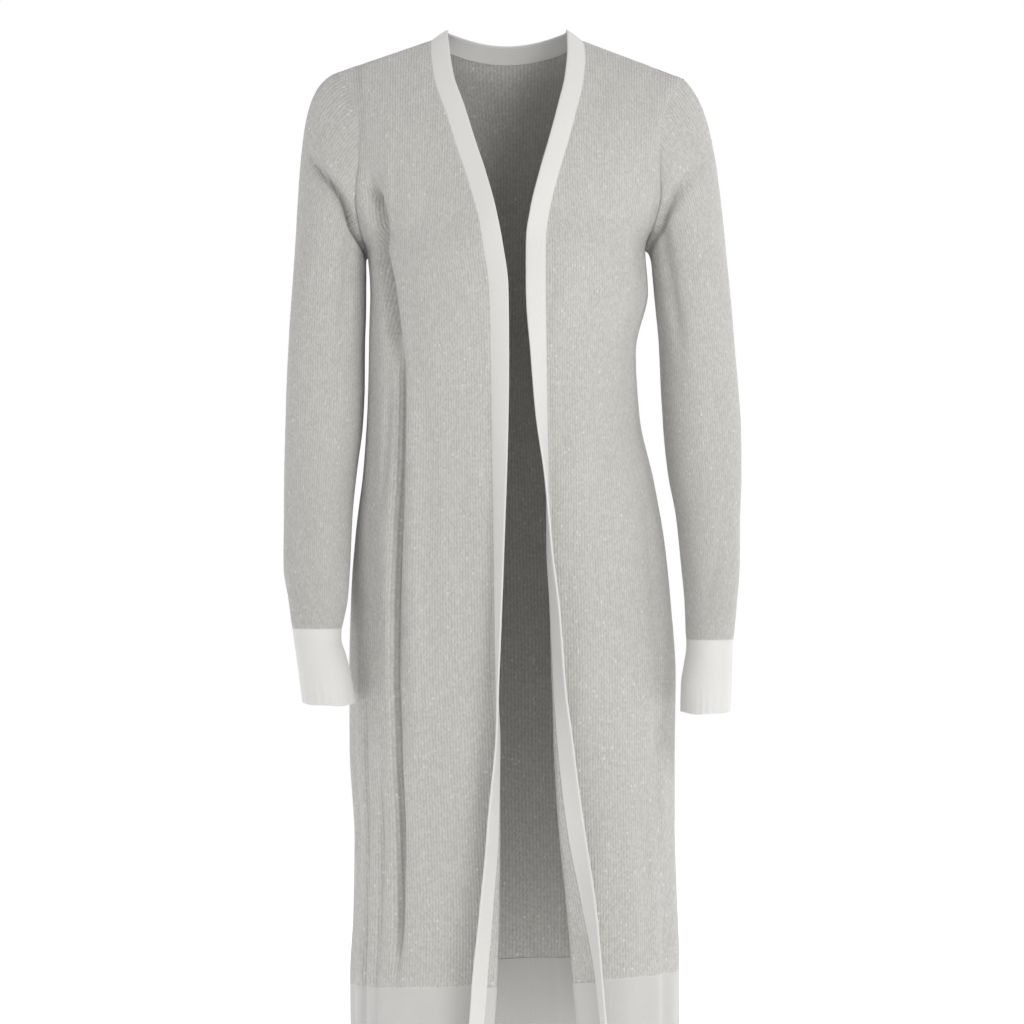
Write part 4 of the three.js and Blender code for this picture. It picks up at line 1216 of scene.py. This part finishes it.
def thread_material(name, colour):
    """The thread of a linking seam, a little fuzzy."""
    material, tree, shader = yarn_material(name, THREAD_FINISH)
    shade = math_node(tree, "MULTIPLY_ADD", object_noise(tree, THREAD_GRAIN), *THREAD_SHADE)
    feed(tree, shader, {"Base Color": tinted(tree, colour, shade)})
    bump(tree, shader, object_noise(tree, THREAD_FUZZ), THREAD_BUMP)
    return material


def shared_material(name, maker, *args):
    return bpy.data.materials.get(name) or maker(*args)


# Geometry Nodes


def new_tree(name, inputs):
    """A Geometry Nodes tree with named inputs. Each is a name, a kind and a default."""
    tree = bpy.data.node_groups.new(name, "GeometryNodeTree")
    tree.interface.new_socket("Geometry", in_out="INPUT", socket_type="NodeSocketGeometry")
    for label, kind, value in inputs:
        socket = tree.interface.new_socket(label, in_out="INPUT", socket_type="NodeSocket" + kind)
        if value is not None:
            socket.default_value = value
    tree.interface.new_socket("Geometry", in_out="OUTPUT", socket_type="NodeSocketGeometry")
    return tree, node(tree, "NodeGroupInput"), node(tree, "NodeGroupOutput")


def finish_tree(tree, geometry, group_in, group_out):
    """Every tree ends in Realize Instances and Set Material."""
    realize = node(tree, "GeometryNodeRealizeInstances", {"Geometry": geometry})
    plain, material = realize.outputs["Geometry"], group_in.outputs["Material"]
    dress = node(tree, "GeometryNodeSetMaterial", {"Geometry": plain, "Material": material})
    feed(tree, group_out, {"Geometry": dress.outputs["Geometry"]})


def attribute(tree, name, kind):
    """A named value that each point of a mesh carries."""
    found = node(tree, "GeometryNodeInputNamedAttribute", data_type=kind)
    found.inputs["Name"].default_value = name
    return found.outputs["Attribute"]


def rib_tree():
    """Raises ribs along the columns of a knitted wall and makes its surface a little uneven."""
    tree, group_in, group_out = new_tree(
        "Raised ribs",
        (
            ("Rib height", "Float", 0.00048),
            ("Rib fullness", "Float", 0.5),
            ("Unevenness", "Float", 0.0003),
            ("Seed", "Int", 3),
            ("Material", "Material", None),
        ),
    )
    turn = math_node(tree, "MULTIPLY", attribute(tree, "wale", "FLOAT"), math.pi)
    wave = math_node(tree, "ABSOLUTE", math_node(tree, "COSINE", turn))
    full = math_node(tree, "POWER", wave, group_in.outputs["Rib fullness"])
    rib = math_node(tree, "MULTIPLY", full, group_in.outputs["Rib height"])
    noise = node(tree, "ShaderNodeTexNoise", noise_dimensions="4D")
    feed(tree, noise, {
        "Vector": node(tree, "GeometryNodeInputPosition").outputs[0],
        "W": group_in.outputs["Seed"],
        "Scale": UNEVEN_SCALE,
        "Detail": UNEVEN_DETAIL,
    })
    swing = math_node(tree, "SUBTRACT", noise.outputs["Fac"], 0.5)
    uneven = math_node(tree, "MULTIPLY", swing, group_in.outputs["Unevenness"])
    lift = math_node(tree, "ADD", rib, uneven)
    lift = math_node(tree, "MULTIPLY", lift, attribute(tree, "rib", "FLOAT"))
    raised = {0: node(tree, "GeometryNodeInputNormal").outputs[0], "Scale": lift}
    offset = node(tree, "ShaderNodeVectorMath", raised, operation="SCALE").outputs[0]
    moved = {"Geometry": group_in.outputs["Geometry"], "Offset": offset}
    move = node(tree, "GeometryNodeSetPosition", moved)
    finish_tree(tree, move.outputs["Geometry"], group_in, group_out)
    return tree


def stitch_tree():
    """Lays small two-legged stitches along a line, each turned to the line and the cloth."""
    tree, group_in, group_out = new_tree(
        "Linking stitches",
        (
            ("Spacing", "Float", 0.0026),
            ("Stitch length", "Float", 0.0028),
            ("Thread width", "Float", 0.0007),
            ("Spread", "Float", 0.00045),
            ("Lean", "Float", 0.42),
            ("Jitter", "Float", 0.12),
            ("Seed", "Int", 5),
            ("Material", "Material", None),
        ),
    )
    sizes = group_in.outputs
    line = node(tree, "GeometryNodeMeshToCurve", {"Mesh": sizes["Geometry"]}).outputs["Curve"]
    spaced = node(tree, "GeometryNodeResampleCurve", mode="LENGTH")
    feed(tree, spaced, {"Curve": line, "Length": sizes["Spacing"]})
    legs = node(tree, "GeometryNodeJoinGeometry")
    ball = {"Segments": LEG_SEGMENTS, "Rings": LEG_RINGS, "Radius": LEG_RADIUS}
    long, thick = sizes["Stitch length"], sizes["Thread width"]
    for way in (-1.0, 1.0):
        beside = math_node(tree, "MULTIPLY", sizes["Spread"], way)
        lean = math_node(tree, "MULTIPLY", sizes["Lean"], way)
        leg = node(tree, "GeometryNodeTransform")
        feed(tree, leg, {
            "Geometry": node(tree, "GeometryNodeMeshUVSphere", ball).outputs["Mesh"],
            "Scale": vector_of(tree, X=long, Y=thick, Z=thick),
            "Translation": vector_of(tree, Y=beside),
            "Rotation": vector_of(tree, Z=lean),
        })
        feed(tree, legs, {"Geometry": leg.outputs["Geometry"]})
    tangent = {"Vector": node(tree, "GeometryNodeInputTangent").outputs[0]}
    along = node(tree, "FunctionNodeAlignRotationToVector", tangent, axis="X").outputs[0]
    facing = {"Rotation": along, "Vector": attribute(tree, "out", "FLOAT_VECTOR")}
    upright = node(tree, "FunctionNodeAlignRotationToVector", facing, axis="Z", pivot_axis="X")
    wobble = node(tree, "FunctionNodeRandomValue", data_type="FLOAT")
    feed(tree, wobble, {
        "Seed": sizes["Seed"],
        "Max": sizes["Jitter"],
        "Min": math_node(tree, "MULTIPLY", sizes["Jitter"], -1.0),
    })
    twist = {
        "Rotation": upright.outputs[0],
        "Rotate By": vector_of(tree, Z=wobble.outputs["Value"]),
    }
    twisted = node(tree, "FunctionNodeRotateRotation", twist, rotation_space="LOCAL")
    laid = node(tree, "GeometryNodeInstanceOnPoints")
    feed(tree, laid, {
        "Points": spaced.outputs["Curve"],
        "Instance": legs.outputs["Geometry"],
        "Rotation": twisted.outputs[0],
    })
    finish_tree(tree, laid.outputs["Instances"], group_in, group_out)
    return tree


def grown(piece, tree, **inputs):
    """Runs a tree on a piece once and keeps the result as its plain mesh."""
    modifier = piece.modifiers.new("Grow", "NODES")
    modifier.node_group = tree
    sockets = {
        item.name: item.identifier
        for item in tree.interface.items_tree
        if item.item_type == "SOCKET" and item.in_out == "INPUT"
    }
    for label, value in inputs.items():
        modifier[sockets[label.replace("_", " ")]] = value
    bpy.context.view_layer.update()
    seen = piece.evaluated_get(bpy.context.evaluated_depsgraph_get())
    mesh = bpy.data.meshes.new_from_object(seen)
    piece.modifiers.remove(modifier)
    if mesh.materials[0] is None:
        mesh.materials.pop(index=0)
    old = piece.data
    piece.data = mesh
    mesh.name = piece.name
    bpy.data.meshes.remove(old)
    return piece


def knit_piece(context, name, grid, wrap=False):
    """A ribbed panel or sleeve: its wall, its ribs and its finish."""
    knit = context.scene.cardigan_knit
    piece = cloth_wall(name, grid, KNIT_WALL, wrap)
    tree = bpy.data.node_groups.get("Raised ribs") or rib_tree()
    material = shared_material("silver_rib_knit", rib_knit_material, knit)
    grown(
        piece,
        tree,
        Rib_height=knit.rib_height,
        Rib_fullness=knit.rib_fullness,
        Unevenness=knit.unevenness,
        Seed=knit.seed,
        Material=material,
    )
    return piece


def trim_piece(context, place, sections, wrap=False):
    """A trim and its finish. A hem hangs free and gets a darker colour: painted shade for the dark
    that shows through it.
    """
    knit = context.scene.cardigan_knit
    piece = lofted(f"trim_{place}", sections, section_uv(sections), wrap)
    name, colour = "off_white_knit", knit.trim_colour
    # Painted shade: the hems get the trim knit painted darker
    if place.startswith("hem"):
        name, colour = "hem_knit_painted_shade", knit.hem_painted_shade_colour
    piece.data.materials.append(shared_material(name, trim_knit_material, knit, name, colour))
    return piece


def handed_in(piece, node_name):
    """Attaches a piece to the body and hides the part of the model that it stands for."""
    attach(piece, BODY)
    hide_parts(node_name)


class CARDIGAN_OT_back(bpy.types.Operator):
    """Make the back panel"""

    bl_idname = "cardigan.back"
    bl_label = "Back"

    def execute(self, context):
        piece = knit_piece(context, "knit_back", panels()[1]["back"])
        handed_in(piece, "back")
        return {"FINISHED"}


class CARDIGAN_OT_fronts(bpy.types.Operator):
    """Make both front panels, with their edges turned out towards the hem"""

    bl_idname = "cardigan.fronts"
    bl_label = "Fronts"

    def execute(self, context):
        for name in SIDES:
            piece = knit_piece(context, f"knit_front_{name}", panels()[1][name])
            handed_in(piece, f"front_{name}")
        return {"FINISHED"}


class CARDIGAN_OT_sleeves(bpy.types.Operator):
    """Make both set-in sleeves"""

    bl_idname = "cardigan.sleeves"
    bl_label = "Sleeves"

    def execute(self, context):
        for name in SIDES:
            piece = knit_piece(context, f"knit_sleeve_{name}", sleeve_grid(name), wrap=True)
            handed_in(piece, f"sleeve_{name}")
        return {"FINISHED"}


def cuff_sections(name):
    """Closed sections round a cuff, each from its seam down, round its rolled end and up."""
    angle = np.linspace(0, 2 * math.pi, CUFF_COLUMNS + 1)
    top, bottom = CUFF[name][0][0] + SEAM_GAP - CLOSED_GAP, CUFF[name][-1][0]
    share = np.linspace(0, 1, CUFF_STEPS + 1)
    wave = CUFF_WAVE * sum(size * np.sin(count * angle + at) for size, count, at in CUFF_WAVES)
    end = bottom + TRIM_WALL / 2 + wave
    z = mix(top, end[:, None], share[None, :])
    ring_z = np.clip(z, bottom, CUFF[name][0][0])
    points = ring_point(CUFF_RINGS[name], name, ring_z, angle[:, None])
    points[..., 2] = z
    away = unit(points - ring_point(CUFF_RINGS[name], name, ring_z, angle[:, None] + math.pi))
    flute = np.sin(CUFF_FLUTES * angle + FLUTE_DRIFT * np.sin(FLUTE_DRIFTS * angle))
    group = (1 - FLUTE_EVENNESS) * np.sin(FLUTE_GROUPS * angle + FLUTE_PHASE)
    flute = flute * (FLUTE_EVENNESS + group)
    lift = CUFF_FLUTE * flute[:, None] * smooth(FLUTES_START, 1.0, share)[None, :]
    normals = np.empty_like(points)
    upright = points[:-1].swapaxes(0, 1)
    normals[:-1] = grid_normals(upright, SIDES[name], wrap=True).swapaxes(0, 1)
    normals[-1] = normals[0]
    outward = np.sign(np.sum(normals * away, axis=-1, keepdims=True))
    normals = unit(normals * outward)
    points = points + normals * lift[..., None]
    points[-1] = points[0]
    down = np.broadcast_to(np.array((0.0, 0.0, -1.0)), normals[:, -1].shape)
    return rounded_section(points, normals, down, TRIM_WALL, CUFF_ROLL)


class CARDIGAN_OT_cuffs(bpy.types.Operator):
    """Make both deep cuffs, with a thin rolled end"""

    bl_idname = "cardigan.cuffs"
    bl_label = "Cuffs"

    def execute(self, context):
        for name in SIDES:
            piece = trim_piece(context, f"cuff_{name}", cuff_sections(name), wrap=True)
            handed_in(piece, f"cuff_{name}")
        return {"FINISHED"}


def hem_sections(grid):
    """Closed sections along a hem band, each from the hem seam down, round its edge and up."""
    points = grid["points"][::-1].swapaxes(0, 1)
    normals = grid["normals"][::-1].swapaxes(0, 1)
    down = unit(points[:, -1] - points[:, -2])
    points = points.copy()
    points[:, -1] -= down * TRIM_WALL / 2
    return rounded_section(points, normals, down, TRIM_WALL, 0)


class CARDIGAN_OT_hems(bpy.types.Operator):
    """Make the deep hem band under each panel"""

    bl_idname = "cardigan.hems"
    bl_label = "Hem bands"

    def execute(self, context):
        row = np.linspace(HEM_ROW, PANEL_ROW - CLOSED_GAP / HEM_DEPTH, HEM_STEPS + 1)
        grids = {"back": back_grid(row, np.linspace(0, HALF_BACK_WALES, HEM_COLUMNS))}
        for name in SIDES:
            grids[f"front_{name}"] = front_grid(name, row, np.linspace(0, 1, HEM_COLUMNS))
        for name, grid in grids.items():
            piece = trim_piece(context, f"hem_{name}", hem_sections(grid))
            handed_in(piece, f"hem_{name}")
        return {"FINISHED"}


def band_line(name):
    """The whole band seam of one side, from the hem to the nape."""
    row = np.concatenate((np.linspace(HEM_ROW, PANEL_ROW, HEM_STEPS + 1)[:-1], body_rows()))
    point, ahead, outward, seam_normal = band_seam(name, row)
    point = hem_tilt(point)
    t = np.linspace(NECK_SHARE, 1, NAPE_STEPS + 1)[1:]
    nape_point, nape_ahead, nape_outward = nape_seam(name, t)
    point = np.concatenate((point, nape_point))
    ahead = np.concatenate((ahead, nape_ahead))
    outward = np.concatenate((outward, nape_outward))
    return point, ahead, outward, np.concatenate((seam_normal, nape_outward))


def band_sections(name):
    """Closed sections along one half of the front band, each from its seam to its free edge."""
    point, ahead, outward, seam_normal = band_line(name)
    width = BAND_WIDTH + SEAM_GAP - TRIM_WALL / 2
    share = np.linspace(0, 1, BAND_COLUMNS)
    start = point + ahead * CLOSED_GAP
    start[-1, 0] += SIDES[name] * CLOSED_GAP
    crown = BAND_CROWN * np.sin(math.pi * share) ** CROWN_POWER
    points = start[:, None, :] + ahead[:, None, :] * (width * share)[None, :, None]
    blend = smooth(0, BAND_TURN_SHARE, share)[:, None]
    normals = unit(mix(seam_normal[:, None, :], outward[:, None, :], blend))
    points = points + normals * crown[None, :, None]
    return rounded_section(points, normals, ahead, TRIM_WALL, 0)


class CARDIGAN_OT_bands(bpy.types.Operator):
    """Make the front band, in two halves that meet at the centre back of the neck"""

    bl_idname = "cardigan.bands"
    bl_label = "Front band"

    def execute(self, context):
        for name in SIDES:
            piece = trim_piece(context, f"band_{name}", band_sections(name))
            handed_in(piece, f"band_{name}")
        return {"FINISHED"}


def seam_lines():
    """Every linking seam as a line of points with the cloth's normal, by its yarn."""
    row, grids = panels()
    below = row[row <= UNDERARM_ROW]
    body, trims = [], []
    hem_row = np.linspace(HEM_ROW, PANEL_ROW, HEM_STEPS + 1)
    angle = np.linspace(0, 2 * math.pi, ARMHOLE_POINTS)
    for name in SIDES:
        low = np.concatenate((hem_row[:-1], below))
        body.append((hem_tilt(side_point(name, low)), side_normal(name, low)))
        ends = (side_point(name, AT_SHOULDER)[0], band_seam(name, AT_SHOULDER)[0][0])
        shoulder = mix(ends[0], ends[1], np.linspace(0, 1, SHOULDER_POINTS)[:, None])
        body.append((shoulder, np.broadcast_to(shoulder_normal(name), shoulder.shape)))
        body.append(armhole_loop(name, angle))
        sleeve = sleeve_grid(name)
        middle = (sleeve["points"].shape[1] - 1) // 2
        body.append((sleeve["points"][:, middle], sleeve["normals"][:, middle]))
        trims.append((sleeve["points"][-1], sleeve["normals"][-1]))
        point, _, _, facing = band_line(name)
        trims.append((point, facing))
        trims.append((grids[name]["points"][0], grids[name]["normals"][0]))
    trims.append((grids["back"]["points"][0], grids["back"]["normals"][0]))
    return {"seams_body": body, "seams_trims": trims}


def line_object(name, lines):
    """The seams as plain edges that carry the cloth's normal."""
    places, edges, facing = [], [], []
    for points, normals in lines:
        first = sum(len(p) for p in places)
        places.append(points - normals * STITCH_SINK)
        facing.append(normals)
        edges.extend((first + i, first + i + 1) for i in range(len(points) - 1))
    mesh = bpy.data.meshes.new(name)
    mesh.from_pydata((np.concatenate(places) * MM).tolist(), edges, [])
    out = mesh.attributes.new("out", "FLOAT_VECTOR", "POINT")
    out.data.foreach_set("vector", np.concatenate(facing).ravel())
    return placed(name, mesh)


class CARDIGAN_OT_seams(bpy.types.Operator):
    """Link the pieces with small stitches along every seam"""

    bl_idname = "cardigan.seams"
    bl_label = "Linking seams"

    def execute(self, context):
        knit, seams = context.scene.cardigan_knit, context.scene.cardigan_seams
        tree = bpy.data.node_groups.get("Linking stitches") or stitch_tree()
        finishes = {
            "seams_body": ("rib_knit", knit.knit_colour),
            "seams_trims": ("trim_knit", knit.trim_colour),
        }
        for name, lines in seam_lines().items():
            slot, colour = finishes[name]
            thread = shared_material(f"thread_{slot}", thread_material, f"thread_{slot}", colour)
            piece = grown(
                line_object(name, lines),
                tree,
                Spacing=seams.spacing,
                Stitch_length=seams.stitch_length,
                Thread_width=seams.thread_width,
                Spread=seams.spread,
                Lean=seams.lean,
                Seed=seams.seed,
                Material=thread,
            )
            piece.data.shade_smooth()
            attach(piece, BODY)
        return {"FINISHED"}


# Stage, camera and light


def area_light(name, aimed, energy):
    place, target, size = aimed
    data = bpy.data.lights.new(name, "AREA")
    data.shape = "DISK"
    data.size = size
    data.energy = energy
    light = placed(name, data)
    light.location = place
    aim = Vector(target) - Vector(place)
    light.rotation_euler = aim.to_track_quat("-Z", "Y").to_euler()


def stage_material(shade, glow):
    material, tree, shader = new_material("pale_floor")
    scale, contrast = FLOOR_CLOUD
    cloudy = around_one(tree, object_noise(tree, scale), contrast)
    feed(tree, shader, {
        "Base Color": tinted(tree, (shade, shade, shade), cloudy),
        "Roughness": FLOOR_ROUGHNESS,
        "Emission Color": WHITE,
        "Emission Strength": glow,
    })
    return material


def soft_world(strength):
    """A white surround that lights the scene less than it shows."""
    world = bpy.data.worlds.new("soft_white")
    world.use_nodes = True
    tree = world.node_tree
    seen = node(tree, "ShaderNodeLightPath").outputs["Is Camera Ray"]
    level = math_node(tree, "MULTIPLY_ADD", seen, 1.0 - strength, strength)
    feed(tree, tree.nodes["Background"], {"Color": WHITE, "Strength": level})
    return world


class CARDIGAN_OT_stage(bpy.types.Operator):
    """Set up the pale floor, the soft light and the camera"""

    bl_idname = "cardigan.stage"
    bl_label = "Stage"

    def execute(self, context):
        stage = context.scene.cardigan_stage
        half = FLOOR_SIZE / 2
        turns = ((-half, -half), (half, -half), (half, half), (-half, half))
        corners = [(x, y, stage.floor_height) for x, y in turns]
        mesh = bpy.data.meshes.new("floor")
        mesh.from_pydata(corners, [], [(0, 1, 2, 3)])
        mesh.materials.append(stage_material(stage.floor_shade, stage.floor_glow))
        placed("floor", mesh)
        context.scene.world = soft_world(stage.sky_strength)
        area_light("key", KEY_LIGHT, stage.key_power)
        area_light("low_fill", LOW_FILL, stage.fill_power)
        area_light("side", SIDE_LIGHT, stage.side_power)
        area_light("behind", BACK_LIGHT, stage.back_power)
        data = bpy.data.cameras.new("camera")
        data.lens = LENS_MM
        data.sensor_width = SENSOR_MM
        camera = placed("camera", data)
        camera.location = CAMERA_PLACE
        camera.rotation_euler = (math.pi / 2, 0.0, 0.0)
        context.scene.camera = camera
        context.scene.view_settings.view_transform = "Standard"
        return {"FINISHED"}


class CardiganKnit(bpy.types.PropertyGroup):
    knit_colour: FloatVectorProperty(
        name="Knit colour",
        description="Colour of the rib knit",
        default=(0.575, 0.564, 0.537),
        subtype="COLOR",
        min=0.0,
        max=1.0,
    )
    trim_colour: FloatVectorProperty(
        name="Trim colour",
        description="Colour of the band and the cuffs",
        default=(0.665, 0.659, 0.64),
        subtype="COLOR",
        min=0.0,
        max=1.0,
    )
    # Painted shade: the hem colour is the trim's colour painted darker, for the dark that shows
    # through the hanging hems
    hem_painted_shade_colour: FloatVectorProperty(
        name="Hem colour",
        description="Colour of the hem bands, which hang free and let some light through",
        default=(0.53, 0.524, 0.51),
        subtype="COLOR",
        min=0.0,
        max=1.0,
    )
    rib_height: FloatProperty(
        name="Rib height",
        description="How far a rib stands over the valley beside it",
        default=0.00048,
        subtype="DISTANCE",
        unit="LENGTH",
    )
    rib_fullness: FloatProperty(
        name="Rib fullness",
        description="Lower is a broader rib with a narrower valley",
        default=0.5,
        min=0.1,
        max=2.0,
    )
    unevenness: FloatProperty(
        name="Unevenness",
        description="How much the knitted surface rises and falls",
        default=0.0003,
        subtype="DISTANCE",
        unit="LENGTH",
    )
    # Painted shade: how much darker the valleys between the ribs are painted
    valley_painted_shade: FloatProperty(
        name="Valley shade",
        description="How much darker the valleys between the ribs are",
        default=0.2,
        subtype="FACTOR",
        min=0.0,
        max=1.0,
    )
    # Painted shade: how much darker the grooves of the trims' fine cross lines are painted
    line_painted_shade: FloatProperty(
        name="Trim line shade",
        description="How much darker the fine lines across the trims are",
        default=0.09,
        subtype="FACTOR",
        min=0.0,
        max=1.0,
    )
    glint_share: FloatProperty(
        name="Glints",
        description="Share of the loops in which the metallic thread shows",
        default=0.007,
        subtype="FACTOR",
        min=0.0,
        max=1.0,
    )
    seed: IntProperty(
        name="Seed",
        description="Seed of the unevenness",
        default=3,
    )


class CardiganSeams(bpy.types.PropertyGroup):
    spacing: FloatProperty(
        name="Stitch spacing",
        description="From one linking stitch to the next",
        default=0.0026,
        subtype="DISTANCE",
        unit="LENGTH",
    )
    stitch_length: FloatProperty(
        name="Stitch length",
        description="Length of each leg of a stitch",
        default=0.0028,
        subtype="DISTANCE",
        unit="LENGTH",
    )
    thread_width: FloatProperty(
        name="Thread width",
        description="Thickness of the linking thread",
        default=0.0007,
        subtype="DISTANCE",
        unit="LENGTH",
    )
    spread: FloatProperty(
        name="Spread",
        description="How far each leg lies from the seam line",
        default=0.00045,
        subtype="DISTANCE",
        unit="LENGTH",
    )
    lean: FloatProperty(
        name="Lean",
        description="Angle between a leg and the seam line",
        default=0.42,
        subtype="ANGLE",
        unit="ROTATION",
    )
    seed: IntProperty(
        name="Seed",
        description="Seed of the small turns of the stitches",
        default=5,
    )


class CardiganStage(bpy.types.PropertyGroup):
    floor_height: FloatProperty(
        name="Floor height",
        description="Height of the floor, well below the hem",
        default=-1.46,
        subtype="DISTANCE",
        unit="LENGTH",
    )
    floor_shade: FloatProperty(
        name="Floor shade",
        description="How pale the floor is",
        default=0.93,
        subtype="FACTOR",
        min=0.0,
        max=1.0,
    )
    floor_glow: FloatProperty(
        name="Floor glow",
        description="Extra light of the floor, which keeps it as white as the surround",
        default=0.66,
        min=0.0,
    )
    sky_strength: FloatProperty(
        name="Surround",
        description="How strongly the white surround lights the scene",
        default=0.6,
        min=0.0,
    )
    key_power: FloatProperty(
        name="Key light",
        description="Power of the soft light from the wearer's left",
        default=43.0,
        subtype="POWER",
        unit="POWER",
    )
    fill_power: FloatProperty(
        name="Fill light",
        description="Power of the low soft light in front",
        default=0.5,
        subtype="POWER",
        unit="POWER",
    )
    back_power: FloatProperty(
        name="Back light",
        description="Power of the soft light behind",
        default=26.0,
        subtype="POWER",
        unit="POWER",
    )
    side_power: FloatProperty(
        name="Side light",
        description="Power of the soft light from the wearer's right",
        default=9.0,
        subtype="POWER",
        unit="POWER",
    )


OPERATORS = (
    CARDIGAN_OT_stage,
    CARDIGAN_OT_back,
    CARDIGAN_OT_fronts,
    CARDIGAN_OT_sleeves,
    CARDIGAN_OT_cuffs,
    CARDIGAN_OT_hems,
    CARDIGAN_OT_bands,
    CARDIGAN_OT_seams,
)
SETTINGS = {
    "cardigan_knit": CardiganKnit,
    "cardigan_seams": CardiganSeams,
    "cardigan_stage": CardiganStage,
}


class CARDIGAN_PT_panel(bpy.types.Panel):
    """Lists the sizes, the colours and the pieces"""

    bl_idname = "CARDIGAN_PT_panel"
    bl_label = "Cardigan"
    bl_space_type = "VIEW_3D"
    bl_region_type = "UI"
    bl_category = "Cardigan"

    def draw(self, context):
        for key, group in SETTINGS.items():
            box = self.layout.box()
            for prop in group.__annotations__:
                box.prop(getattr(context.scene, key), prop)
        for operator in OPERATORS:
            self.layout.operator(operator.bl_idname)


def register():
    for cls in (*SETTINGS.values(), *OPERATORS, CARDIGAN_PT_panel):
        bpy.utils.register_class(cls)
    for key, group in SETTINGS.items():
        setattr(bpy.types.Scene, key, PointerProperty(type=group))


def unregister():
    for key in SETTINGS:
        delattr(bpy.types.Scene, key)
    for cls in reversed((*SETTINGS.values(), *OPERATORS, CARDIGAN_PT_panel)):
        bpy.utils.unregister_class(cls)


def main():
    register()
    for operator in OPERATORS:
        group, call = operator.bl_idname.split(".")
        getattr(getattr(bpy.ops, group), call)()


if __name__ == "__main__":
    main()
